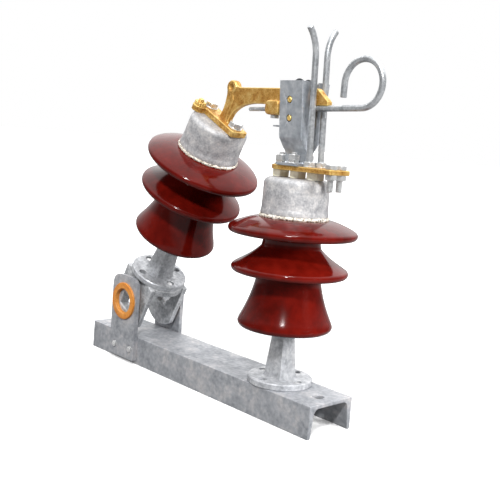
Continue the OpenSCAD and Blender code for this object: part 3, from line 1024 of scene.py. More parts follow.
@dataclass
class Channel:
    """The rolled channel that carries both posts."""

    web: float = 4.8
    toe: float = 5.0
    root: float = 7.8
    fillet: float = 8
    hole_r: float = 7
    hole_end: float = 22

    def build(self) -> None:
        """Extrudes the section and drills it."""
        w, h = LAY.half_w, LAY.base_h
        inside = arc(-w + self.root + self.fillet, h - self.web - self.fillet, self.fillet, 90, 176,
                     8)
        inside += [(-w + self.toe, 2.2), (-w + self.toe - 0.6, 0.7), (-w + self.toe - 2, 0)]
        mirrored = [(-x, z) for x, z in reversed(inside)]
        section = [(-w, 0), (-w, h), (w, h), (w, 0), *mirrored, *inside]
        piece = Bench.slab("channel", section, 2 * LAY.half_len)
        Bench.move(piece, shift(x=-LAY.half_len) @ ALONG_X)
        for side in (-1, 1):
            hole = Bench.drum("hole", self.hole_r, 20)
            Bench.cut(piece,
                      Bench.move(hole, shift(side * (LAY.half_len - self.hole_end), 0, h - 12)))
        Bench.bevel(piece, 1.1, 3, 35)
        Bench.smooth(piece, 40)
        deliver(piece, "channel", "galvanised", BASE, "galvanised", "base_channel")


@dataclass
class BearingPlate:
    """One upright plate with its bush and two bolts."""

    side: Side
    half: float = 30
    thick: float = 6
    foot_z: float = 5
    top: float = 37.8
    round_r: float = 19
    bush_r: float = 27
    barrel_r: float = 21
    bore_r: float = 17.6
    lip: float = 2.8
    bolt_x: float = 19
    bolt_z: float = 20
    bolt_r: float = 5

    def place(self, piece: bpy.types.Object) -> bpy.types.Object:
        """Stands a piece that was drawn on z = 0 on the channel's side, its z outwards."""
        Bench.move(piece, shift(LAY.pivot.x, -LAY.half_w, LAY.pivot.z) @ UPRIGHT)
        return Bench.mirror_y(piece) if self.side is Side.FAR else piece

    def build(self) -> None:
        """Makes the plate, the bush and the bolts."""
        where = self.side.name.lower()
        low = self.foot_z - LAY.pivot.z
        outline = rounded([(-self.half, low, 1.5), (self.half, low, 1.5),
                           (self.half, self.top, self.round_r),
                           (-self.half, self.top, self.round_r)], 10)
        plate = Bench.slab("plate", outline, self.thick)
        Bench.cut(plate, Bench.move(Bench.drum("bore", self.barrel_r, 20, 64), shift(z=-5)))
        for x in (-self.bolt_x, self.bolt_x):
            sink = Bench.lathe("sink",
                               [(0, -5), (self.bolt_r - 0.1, -5),
                                (self.bolt_r - 0.1, self.thick - 1.3),
                                (self.bolt_r + 2.2, self.thick + 0.2), (0, self.thick + 0.2)], 32)
            Bench.cut(plate, Bench.move(sink, shift(x, self.bolt_z - LAY.pivot.z, 0)))
        Bench.bevel(plate, 0.9, 3, 40)
        Bench.smooth(plate, 40)
        deliver(self.place(plate), f"bearing_plate_{where}_skin", "galvanised", BASE, "galvanised",
                f"bearing_plate_{where}")
        t, lip, r, b = self.thick, self.lip, self.bush_r, self.bore_r
        ring = [(b + 0.9, t + lip), (b, t + lip - 0.9), (b, -lip), (r - 0.8, -lip), (r, -lip + 0.8),
                (r, 0), (self.barrel_r, 0), (self.barrel_r, t), (r, t),
                *arc(r - 1.5, t + lip - 1.5, 1.5, 0, 90, 5)]
        bush = Bench.lathe("bush", ring, 96)
        Bench.smooth(bush, 45)
        deliver(self.place(bush), f"bush_{where}_skin", "bush", BASE, "bush", f"bush_{where}")
        bolts = []
        for x in (-self.bolt_x, self.bolt_x):
            shank = Fasteners.shank(self.bolt_r - 0.15, -9, self.thick + 1.2)
            head = Bench.move(Fasteners.nut(Thread.M10, HEAD_T, 11), shift(z=-7.8 - HEAD_T))
            bolts += [Bench.move(o, shift(x, self.bolt_z - LAY.pivot.z, 0)) for o in (shank, head)]
        pair = Bench.bundle("plate_bolts", bolts)
        deliver(self.place(pair), f"plate_bolts_{where}_skin", "zinc_bolt", BASE, "zinc_bolt",
                f"plate_bolts_{where}")


# ---------------------------------------------------------------- posts


@dataclass
class PostInsulator:
    """One post: foot and stem, porcelain with three sheds, cement and cap."""

    name: str
    body: str
    place: Matrix
    foot_r: float = 40.5
    foot_t: float = 8
    foot_bolt: float = 30
    stem_low: float = 31
    stem_top: float = 19
    stem_boss_r: float = 23
    bell_r: float = 58.6
    bell_h: float = 69.5
    low_r: float = 72
    top_r: float = 79.3
    neck_low: float = 40
    neck_up: float = 35.5
    head_r: float = 36
    cap_r: float = 41.4
    cap_h: float = 45
    cap_round: float = 7
    shed_edge: float = 5

    @property
    def cap_low(self) -> float:
        """Height of the cap's rim."""
        return LAY.post_h - self.cap_h

    def outline(self) -> Profile:
        """The porcelain's half section from the hollow bell up to the head."""
        up, e = self.cap_low - 19, self.shed_edge
        low, roof = up - 47.5, self.bell_h + 32
        b, h = self.bell_r, self.bell_h
        start = (self.stem_boss_r + 4, roof)
        points: Profile = [(0, roof), start, *bend(start, (b - 16, roof - 2), (b - 11, h + 3), 10)]
        points += arc(b - 6.6, h + 6.6, 6.6, -110, 0, 14)
        points += bend((b, h + 8), (self.neck_low + 5, h + 34), (self.neck_low, low - 12), 16)
        points += [(self.neck_low, low - 8)]
        points += bend((self.neck_low, low - 8), (self.neck_low + 8, low - 4),
                       (self.low_r - 12, low - 5), 10)
        points += arc(self.low_r - e, low, e, -95, 65, 16)
        points += bend((self.low_r - 3, low + 5), (self.neck_up + 8, low + 19),
                       (self.neck_up, low + 30), 14)
        points += [(self.neck_up, up - 13)]
        points += bend((self.neck_up, up - 9), (self.neck_up + 8, up - 4),
                       (self.top_r - 12, up - 5), 10)
        points += arc(self.top_r - e, up, e, -95, 65, 16)
        points += bend((self.top_r - 3, up + 5), (self.head_r + 20, self.cap_low - 4),
                       (self.head_r + 8, self.cap_low - 3), 14)
        return points + [(self.head_r + 6, self.cap_low - 3), (self.head_r - 3, self.cap_low - 3),
                         (0, self.cap_low - 3)]

    def give(self, piece: bpy.types.Object, kind: str, finish: str, slot: str, *nodes: str) -> None:
        """Places a piece on its post and delivers it."""
        deliver(Bench.move(piece, self.place), f"{self.name}_{kind}_skin", finish, self.body, slot,
                *nodes)

    def make_pedestal(self) -> None:
        """Foot flange with its tapped holes and the square stem, as one casting."""
        foot = Bench.lathe("foot",
                           [(0, 0), (self.foot_r - 1, 0), (self.foot_r, 1),
                            (self.foot_r, self.foot_t - 1.2), (self.foot_r - 1.2, self.foot_t),
                            (0, self.foot_t)], 96)
        stem = Bench.block("stem", (-self.stem_low / 2, -self.stem_low / 2, self.foot_t - 1),
                           (self.stem_low / 2, self.stem_low / 2, self.foot_t))
        Bench.edit(stem, "FACE")
        bpy.ops.mesh.select_all(action="DESELECT")
        bpy.ops.object.mode_set(mode="OBJECT")
        for face in stem.data.polygons:
            face.select = face.normal.z > 0.9
        bpy.ops.object.mode_set(mode="EDIT")
        for tall, share in ((4.0, 0.9),
                            (self.bell_h - self.foot_t - 4, self.stem_top / self.stem_low / 0.9)):
            bpy.ops.mesh.extrude_region_move(TRANSFORM_OT_translate={"value": (0, 0, tall)})
            bpy.ops.transform.resize(value=(share, share, 1))
        bpy.ops.object.mode_set(mode="OBJECT")
        Bench.bevel(stem, 2.2, 3, 40)
        neck = Bench.drum("neck", self.stem_boss_r, 34, 48)
        Bench.move(neck, shift(z=self.bell_h - 1.5))
        Bench.cut(foot, stem, neck, how="UNION")
        for quarter in range(4):
            hole = Bench.drum("hole", 5.6, 20, 24)
            Bench.cut(foot,
                      Bench.move(hole, turn(90 * quarter, "Z") @ shift(self.foot_bolt, 0, -5)))
        Bench.bevel(foot, 0.7, 2, 40)
        Bench.smooth(foot, 40)
        self.give(foot, "pedestal", "stem_zinc", "cast_iron", f"{self.name}_pedestal")

    def make_porcelain(self) -> None:
        """The glazed body, spun from its half section."""
        glaze = Bench.lathe("glaze", self.outline(), 144)
        Bench.smooth(glaze, 50)
        self.give(glaze, "porcelain", "porcelain", "porcelain", f"{self.name}_porcelain")

    def make_cement(self) -> None:
        """The rough cement that squeezes out round the cap's rim."""
        r, z = self.cap_r - 1.6, self.cap_low - 1.3
        angles = [math.tau * i / 18 for i in range(18)]
        bead = [(r + 2.9 * math.cos(a), z + 2.3 * math.sin(a)) for a in angles]
        ring = Bench.lathe("cement", bead, 300)
        Bench.roughen(ring, 3.6, 2.4)
        Bench.roughen(ring, 1.3, 1.1)
        Bench.smooth(ring, 60)
        self.give(ring, "cement", "cement", "cement", f"{self.name}_cement")

    def make_cap(self) -> None:
        """The cast cap, a little wider at its rim."""
        r, low, top, q = self.cap_r, self.cap_low, LAY.post_h, self.cap_round
        outline = [(0, low + 0.4), (r - 0.6, low), (r, low + 0.8), (r - 0.1, low + 5),
                   (r - 0.9, low + 9), *arc(r - 1.3 - q, top - q, q, 0, 90, 8), (0, top)]
        cap = Bench.lathe("cap", outline, 96)
        Bench.cast(cap, 1.1, 3, (9, 0.7), (2.5, 0.25))
        self.give(cap, "cap", "cap_metal", "cap_metal", f"{self.name}_cap")

    def make_foot_bolts(self, seat: float, node: str) -> None:
        """Two bolts from below, their ends sunk in the foot.

        Args:
            seat: thickness of what the foot stands on.
            node: the CAD node that they stand for.
        """
        parts = []
        for x in (-self.foot_bolt, self.foot_bolt):
            shank = Fasteners.shank(4.9, -seat - 1, self.foot_t - 1.5)
            head = Bench.move(Fasteners.nut(Thread.M10, HEAD_T, 8), shift(z=-seat - HEAD_T))
            parts += [Bench.move(o, shift(x=x)) for o in (shank, head)]
        pair = Bench.bundle("foot_bolts", parts)
        self.give(pair, "foot_bolts", "zinc_bolt", "zinc_bolt", node)

    def build(self, seat: float, bolts: str) -> None:
        """Builds the whole post.

        Args:
            seat: thickness of what the foot stands on.
            bolts: CAD node of its foot bolts.
        """
        self.make_pedestal()
        self.make_porcelain()
        self.make_cement()
        self.make_cap()
        self.make_foot_bolts(seat, bolts)


# ---------------------------------------------------------------- terminal and contact


@dataclass
class Terminal:
    """Brass terminal plate on packing nuts, with its studs and terminal bolts."""

    tail: float = -38
    over: float = 66.5
    half: float = 18
    cap_bolt: float = 28.5
    bolt_y: float = 8
    bolt_back: float = 7

    def give(self, piece: bpy.types.Object, name: str, finish: str, slot: str, *nodes: str) -> None:
        """Places a piece on the fixed post and delivers it."""
        deliver(Bench.move(piece, LAY.fixed), name, finish, BASE, slot, *nodes)

    def build(self) -> None:
        """Builds nuts, plate, studs and bolts."""
        low, top = LAY.term_low, LAY.term_top
        nuts = []
        for i, x in enumerate((-self.cap_bolt, 0, self.cap_bolt)):
            nut = Fasteners.hexagon(9.5, low - LAY.post_h, 6 + 9 * i)
            nuts.append(Bench.move(nut, shift(x, 0, LAY.post_h)))
        packing = Bench.bundle("packing", nuts, 25)
        self.give(packing, "packing_nuts_skin", "packing", "packing", "packing_nuts")
        h = self.half
        tail = [(x, y, 0.0) for x, y in arc(self.tail + h, 0, h, 90, 270, 24)]
        outline = rounded([*tail, (self.over, -h, 2), (self.over, h, 2)], 4)
        plate = Bench.slab("plate", outline, top - low)
        Bench.bevel(plate, 0.7, 2, 40)
        Bench.cast(plate, 0.7, 2, (6, 0.25))
        self.give(Bench.move(plate, shift(z=low)), "terminal_plate_skin", "brass", "brass",
                  "terminal_plate")
        stack = Bench.move(Fasteners.stack(Thread.M10, top - LAY.post_h + 6, 14),
                           shift(-self.cap_bolt, 0, top))
        studs = [stack]
        for x in (0, self.cap_bolt):
            studs.append(Bench.move(Fasteners.shank(4.9, LAY.post_h - 6, top - 0.4), shift(x=x)))
        joined = Bench.bundle("studs", studs)
        self.give(joined, "cap_studs_skin", "zinc_bolt", "zinc_bolt", "cap_studs")
        parts = []
        for y, spin in ((-self.bolt_y, 4), (self.bolt_y, 21)):
            head = Bench.move(Fasteners.nut(Thread.M8, 5.3, spin), shift(z=top))
            lower = Bench.move(Fasteners.nut(Thread.M8, 6, spin + 9), shift(z=low - 6))
            shank = Fasteners.shank(4, top - 26, top + 1)
            place = shift(self.over - self.bolt_back, y, 0)
            parts += [Bench.move(o, place) for o in (head, lower, shank)]
        bolts = Bench.bundle("terminal_bolts", parts)
        self.give(bolts, "terminal_bolts_skin", "zinc_bolt", "galvanised", "terminal_bolts")


@dataclass
class Contact:
    """Two sheet guards with sprung brass fingers between them."""

    mid: float = -1.5
    wide: float = 36
    tall: float = 99
    sheet: float = 2.5
    foot_y: float = 4.2
    foot_out: float = 20
    heel: float = 14
    knee: float = 33
    knee_y: float = 18
    top_y: float = 24
    lip_y: float = 6.5
    bolt_x: float = 3
    stud_x: float = -3.5
    stud_up: tuple[float, float] = (70.5, 92.0)
    stud_r: float = 2.7
    hole_r: float = 4.4
    blade_half: float = 4.3
    finger_t: float = 3
    finger_w: float = 26
    finger_top: float = 110
    finger_low: float = 47
    leaf_t: float = 1
    leaf_w: float = 20
    coil_r: float = 4.6

    @property
    def bolt_y(self) -> float:
        """Distance of a guard's bolt from the middle."""
        return self.foot_y + 7.9

    def studs(self) -> tuple[float, float]:
        """Heights of the finger studs above the post's foot."""
        return LAY.post_h + self.stud_up[0], LAY.post_h + self.stud_up[1]

    def skin_y(self, z: float) -> float:
        """Where a guard's outer face stands at a height above the post's foot."""
        share = (z - LAY.term_top - self.knee) / (self.tall - self.knee)
        return self.knee_y + (self.top_y - self.knee_y) * share

    def give(self, piece: bpy.types.Object, name: str, finish: str, slot: str, side: Side,
             *nodes: str) -> None:
        """Mirrors a piece for the far side, places it and delivers it."""
        if side is Side.FAR:
            Bench.mirror_y(piece)
        deliver(Bench.move(piece, LAY.fixed), name, finish, BASE, slot, *nodes)

    def make_guard(self, side: Side) -> None:
        """The bent sheet with its foot, its flange and two holes.

        Args:
            side: the side it stands on.
        """
        where, t = side.name.lower(), self.sheet
        f, k, h = self.foot_y, self.knee, self.tall
        section = [(-self.foot_out, 0), (-self.foot_out, t), (-f - 2, t), (-f, t + 2),
                   (-f, self.heel - 2), (-f - 0.8, self.heel + 1.2), (-self.knee_y + 0.9, k - 1.5),
                   (-self.knee_y - 0.15, k + 2), (-self.top_y, h), (-self.top_y + t, h),
                   (-self.knee_y + t, k + 1), (-self.knee_y + t + 0.9, k - 2.5),
                   (-f + t - 0.4, self.heel), (-f + t, self.heel - 3), (-f + t, 0)]
        face = Bench.slab("guard", section, self.wide)
        Bench.move(face, shift(self.mid - self.wide / 2, 0, LAY.term_top) @ ALONG_X)
        rim = [(-f - 0.2, t + 1), (-f, self.heel), (-self.knee_y, k), (-self.top_y, h),
               (-self.lip_y, h), (-self.lip_y, k), (-f + t, self.heel + 6), (-f + t, t + 1)]
        flange = Bench.slab("flange", rim, t)
        Bench.move(flange, shift(self.mid + self.wide / 2 - t, 0, LAY.term_top) @ ALONG_X)
        Bench.cut(face, flange, how="UNION")
        for z in self.studs():
            hole = Bench.drum("hole", self.hole_r, 30, 32)
            Bench.cut(face,
                      Bench.move(hole, shift(self.stud_x, -self.top_y - 6, z) @ turn(-90, "X")))
        Bench.bevel(face, 0.9, 3, 28)
        Bench.smooth(face, 35)
        self.give(face, f"guard_{where}_skin", "sheet_zinc", "galvanised", side, f"guard_{where}")

    def make_finger(self, side: Side) -> None:
        """A brass contact finger and the leaf spring on its back.

        Args:
            side: the side it stands on.
        """
        where, b = side.name.lower(), self.blade_half
        low, top = LAY.term_top + self.finger_low, LAY.post_h + self.finger_top
        middle = (low + top) / 2
        half = self.finger_w / 2
        outline = rounded([(self.mid - half, low, 2), (self.mid + half, low, 2),
                           (self.mid + half, top, 4), (self.mid - half, top, 4)], 4)
        finger = Bench.slab("finger", outline, self.finger_t)
        Bench.move(finger, shift(0, -b, 0) @ UPRIGHT)
        Bench.bevel(finger, 0.7, 3, 40)
        Bench.smooth(finger, 40)
        self.give(finger, f"contact_finger_{where}_skin", "brass", "brass", side,
                  f"contact_finger_{where}")
        leaf_top = top + 8
        r = self.leaf_w / 2
        shape = [(self.stud_x - r, low), (self.stud_x + r, low), (self.stud_x + r, middle)]
        shape += arc(self.stud_x, leaf_top - r, r, 0, 180, 16)
        leaf = Bench.slab("leaf", shape, self.leaf_t)
        Bench.move(leaf, shift(0, -b - self.finger_t, 0) @ UPRIGHT)
        Bench.bevel(leaf, 0.25, 2, 40)
        Bench.smooth(leaf, 40)
        self.give(leaf, f"leaf_spring_{where}_skin", "spring_steel", "spring_steel", side,
                  f"leaf_spring_{where}")

    def make_studs(self) -> None:
        """The brass studs and the coil springs round them."""
        studs, coils = [], []
        for sign in (-1, 1):
            for z in self.studs():
                inner = self.blade_half + 0.5
                outer = self.skin_y(z) + 0.5
                stud = Bench.lathe("stud",
                                   [(0, inner), (self.stud_r, inner), (self.stud_r, outer - 2.6),
                                    (self.stud_r + 0.5, outer - 2.4),
                                    (self.stud_r + 0.5, outer - 0.6), (self.stud_r - 0.2, outer),
                                    (0, outer)], 28)
                slot = Bench.block("slot", (-4, -0.4, outer - 0.9), (4, 0.4, outer + 1))
                Bench.cut(stud, Bench.move(slot, turn(35 * sign + z, "Z")))
                aim = shift(self.stud_x, 0, z) @ turn(-90 * sign, "X")
                studs.append(Bench.move(stud, aim))
                start = self.blade_half + self.finger_t + self.leaf_t
                coil = self.coil(start, outer - self.sheet - 1.2)
                coils.append(Bench.move(coil, aim))
        pins = Bench.bundle("pins", studs, 35)
        self.give(pins, "finger_studs_skin", "brass", "brass", Side.NEAR, "finger_studs")
        springs = Bench.bundle("springs", coils, 60)
        self.give(springs, "contact_springs_skin", "spring_steel", "spring_steel", Side.NEAR,
                  "contact_springs")

    def coil(self, low: float, high: float, turns: int = 4, wire: float = 0.75) -> bpy.types.Object:
        """A coil spring round the Z axis.

        Args:
            low: its lowest point.
            high: its highest point.
            turns: number of turns.
            wire: radius of the wire.

        Returns:
            The spring.
        """
        Bench.clear()
        bpy.ops.mesh.primitive_circle_add(vertices=10, radius=wire,
                                          location=(self.coil_r, 0, low + wire))
        piece = bpy.context.active_object
        piece.name = "coil"
        piece.rotation_euler.x = math.pi / 2
        Bench.settle(piece)
        Bench.modify(piece, "SCREW", angle=math.tau * turns, screw_offset=high - low - 2 * wire,
                     iterations=1, steps=28 * turns, render_steps=28 * turns,
                     use_merge_vertices=False)
        Bench.edit(piece)
        bpy.ops.mesh.fill_holes(sides=0)
        Bench.close()
        return piece

    def make_stop(self) -> None:
        """The stop plate between the guards, with its turned-up tongue."""
        z, t, left = LAY.term_top + self.finger_low - 2, 2, self.mid - self.wide / 2
        inner = self.skin_y(z) - self.sheet - 0.8
        outline = rounded([(left, -inner, 0.6), (self.mid + self.wide / 2 - 3.2, -inner, 0.6),
                           (self.mid + self.wide / 2 - 3.2, inner, 0.6), (left, inner, 0.6),
                           (left, 5, 0), (-46, 5, 2.5), (-46, -5, 2.5), (left, -5, 0)], 4)
        plate = Bench.slab("stop", outline, t)
        tab = Bench.block("tab", (left - 6.5, -5, 0.5), (left - 4.9, 5, 7))
        Bench.cut(plate, tab, how="UNION")
        Bench.bevel(plate, 0.5, 2, 40)
        Bench.smooth(plate, 40)
        self.give(Bench.move(plate, shift(z=z)), "stop_plate_skin", "sheet_zinc", "galvanised",
                  Side.NEAR, "stop_plate")

    def make_bolts(self) -> None:
        """The bolts through the guards' feet."""
        parts = []
        for sign, spin in ((-1, 17), (1, 3)):
            stack = Fasteners.stack(Thread.M8, self.sheet + 5.5, spin)
            parts.append(Bench.move(stack,
                                    shift(self.bolt_x, sign * self.bolt_y,
                                          LAY.term_top + self.sheet)))
        bolts = Bench.bundle("bolts", parts)
        self.give(bolts, "guard_bolts_skin", "zinc_bolt", "zinc_bolt", Side.NEAR, "guard_bolts")

    def build(self) -> None:
        """Builds both sides and what stands between them."""
        for side in Side:
            self.make_guard(side)
            self.make_finger(side)
        self.make_studs()
        self.make_stop()
        self.make_bolts()


# ---------------------------------------------------------------- horns


class Rod:
    """A round bar that grows from its tail by straight runs and bends."""

    def __init__(self, name: str, radius: float, sides: int = 24) -> None:
        """Starts with a round face at the origin that looks along +Z.

        Args:
            name: name of the bar.
            radius: its radius.
            sides: sides of its section.
        """
        Bench.clear()
        bpy.ops.mesh.primitive_circle_add(vertices=sides, radius=radius * 0.82, fill_type="NGON",
                                          location=(0, 0, 0))
        self.piece = bpy.context.active_object
        self.piece.name = self.piece.data.name = name
        Bench.edit(self.piece, "FACE")
        self.tip = Vector((0, 0, 0))
        self.aim = Vector((0, 0, 1))
        self.taper(0.7, 1 / 0.82)

    def straight(self, length: float) -> "Rod":
        """Extrudes the end face along the bar's own direction.

        Args:
            length: length of the run.

        Returns:
            The bar.
        """
        bpy.ops.mesh.extrude_region_move(TRANSFORM_OT_translate={"value": self.aim * length})
        self.tip += self.aim * length
        return self

    def taper(self, length: float, share: float) -> "Rod":
        """Extrudes the end face and scales it.

        Args:
            length: length of the taper.
            share: size of its end against its start.

        Returns:
            The bar.
        """
        self.straight(length)
        bpy.ops.transform.resize(value=(share, share, share), center_override=tuple(self.tip))
        return self

    def curve(self, centre: Vector, axis: Vector, degrees: float, steps: int) -> "Rod":
        """Spins the end face about a centre.

        Args:
            centre: centre of the bend.
            axis: axis of the bend.
            degrees: how far it turns.
            steps: segments in the bend.
        """
        bpy.ops.mesh.spin(steps=steps, angle=-math.radians(degrees), center=tuple(centre),
                          axis=tuple(axis))
        swing = Matrix.Rotation(math.radians(degrees), 3, axis)
        self.tip = centre + swing @ (self.tip - centre)
        self.aim = (swing @ self.aim).normalized()
        return self

    def end(self) -> bpy.types.Object:
        """Rounds the end and closes the bar.

        Returns:
            The bar's object.
        """
        self.taper(0.7, 0.82)
        Bench.close()
        Bench.smooth(self.piece, 35)
        return self.piece


@dataclass
class FixedHorn:
    """An arcing horn on the terminal plate that flares outwards."""

    side: Side
    x: float = 26.5
    y: float = 10
    r: float = 3.75
    tall: float = 160
    lean: float = 2.3
    flare_r: float = 46
    flare_a: float = 43

    def build(self) -> None:
        """Grows the horn and puts it on its side."""
        where = self.side.name.lower()
        flare_h = self.flare_r * math.sin(math.radians(self.flare_a))
        run = self.tall + LAY.term_top - LAY.term_low - flare_h
        rod = Rod("horn", self.r).straight(run - 1.1)
        centre = rod.tip + Vector((0, -self.flare_r, 0))
        rod.curve(centre, Vector((1, 0, 0)), self.flare_a, 18)
        piece = Bench.move(rod.end(),
                           shift(self.x, -self.y, LAY.term_low + 0.3) @ turn(-self.lean, "Y"))
        if self.side is Side.FAR:
            Bench.mirror_y(piece)
        deliver(Bench.move(piece, LAY.fixed), f"horn_{where}_skin", "rod_zinc", BASE, "galvanised",
                f"horn_{where}")


def build_horn_nuts(horn: FixedHorn) -> None:
    """The nuts and washers at the foot of both fixed horns.

    Args:
        horn: sizes of a horn.
    """
    parts = []
    for sign, spin in ((-1, 12), (1, 26)):
        washer = Fasteners.washer(7.2, horn.r, 1.4)
        nut = Bench.move(Fasteners.hexagon(6.4, 5, spin), shift(z=1.4))
        parts += [Bench.move(o, shift(horn.x, sign * horn.y, LAY.term_top)) for o in (washer, nut)]
    nuts = Bench.bundle("horn_nuts", parts)
    deliver(Bench.move(nuts, LAY.fixed), "horn_nuts_skin", "zinc_bolt", BASE, "zinc_bolt",
            "horn_nuts")


@dataclass
class MovingHorn:
    """The rod under the blade that ends in an open loop, and its screw."""

    start: float = 46
    low: float = 374
    rise: float = 2
    r: float = 3.75
    tail_r: float = 2.6
    tail: float = 40
    loop_r: float = 27
    loop_over: float = 88
    drop: float = 16
    boss_x: float = 92
    boss_low: float = 368

    def rod_at(self, x: float) -> float:
        """Height of the rod's middle at a place along it."""
        return self.low + (x - self.start) * math.tan(math.radians(self.rise))

    def build(self) -> None:
        """Grows the rod and the screw."""
        loop_x = LAY.fixed_x + self.loop_over
        length = (loop_x - self.start) / math.cos(math.radians(self.rise))
        rod = Rod("moving_horn", self.tail_r)
        rod.straight(self.tail - 0.7).taper(0.6, self.r / self.tail_r)
        rod.straight(length - self.tail - 0.6)
        rod.curve(rod.tip + Vector((-self.loop_r, 0, 0)), Vector((0, -1, 0)), 270 - self.rise, 54)
        rod.straight(self.drop - 0.7)
        piece = Bench.move(rod.end(), shift(self.start, 0, self.low) @ turn(90 - self.rise, "Y"))
        deliver(piece, "moving_horn_skin", "rod_zinc", POST, "galvanised", "moving_horn")
        head = Fasteners.hexagon(5, 4, 10)
        shank = Fasteners.shank(3, 3, self.rod_at(self.boss_x) - self.r - self.boss_low + 4, 1)
        screw = Bench.bundle("screw", [head, shank])
        deliver(Bench.move(screw, shift(self.boss_x, 0, self.boss_low - 4)), "horn_screw_skin",
                "zinc_bolt", POST, "zinc_bolt", "horn_screw")


# ---------------------------------------------------------------- tilting carrier and blade


@dataclass
class Carrier:
    """The casting between the bearing plates that carries the tilting post."""

    out: float = 32.5
    cheek: float = 7
    r: float = 41
    wide: float = 70
    boss_r: float = 24
    journal_r: float = 17.5
    plate_t: float = 10
    foot_r: float = 40.5
    hole: float = 20
    outer: float = 41.3
    face: float = 34.4

    def build(self) -> None:
        """Joins cheeks, bosses, journals and top plate, and bores the square hole."""
        top = LAY.seat
        half = self.wide / 2
        outline = arc(0, 0, self.r, 180 + math.degrees(math.acos(half / self.r)),
                      360 - math.degrees(math.acos(half / self.r)), 24)
        outline += [(half, top - 1), (-half, top - 1)]
        parts = []
        for sign in (-1, 1):
            cheek = Bench.slab("cheek", outline, self.cheek)
            parts.append(Bench.move(cheek,
                                    shift(0, sign * self.out + (self.cheek if sign < 0 else 0),
                                          0) @ UPRIGHT))
            boss = Bench.drum("boss", self.boss_r, self.face - self.out + 0.5, 64)
            parts.append(Bench.move(boss, turn(90 * -sign, "X") @ shift(z=self.out - 0.5)))
            journal = Bench.drum("journal", self.journal_r, self.outer - self.out + 0.5, 64)
            parts.append(Bench.move(journal, turn(90 * -sign, "X") @ shift(z=self.out - 0.5)))
        disc = Bench.drum("disc", self.foot_r, self.plate_t, 96)
        trim = Bench.block("trim", (-50, -self.out, -1), (50, self.out, self.plate_t + 1))
        Bench.cut(disc, trim, how="INTERSECT")
        parts.append(Bench.move(disc, shift(z=top - self.plate_t)))
        body = parts[0]
        Bench.cut(body, *parts[1:], how="UNION")
        h = self.hole / 2
        for sign in (-1, 1):
            tool = Bench.block("square", (-h, -5, -h), (h, 15, h))
            Bench.cut(body, Bench.move(tool, shift(y=sign * (self.out + 2) - 5)))
        for x in (-30, 30):
            Bench.cut(body,
                      Bench.move(Bench.drum("hole", 5.3, 20, 24),
                                 shift(x, 0, top - self.plate_t - 5)))
        Bench.cast(body, 0.9, 3, (7, 0.3))
        deliver(Bench.move(body, LAY.carrier), "carrier_skin", "cast_iron", POST, "cast_iron",
                "carrier")


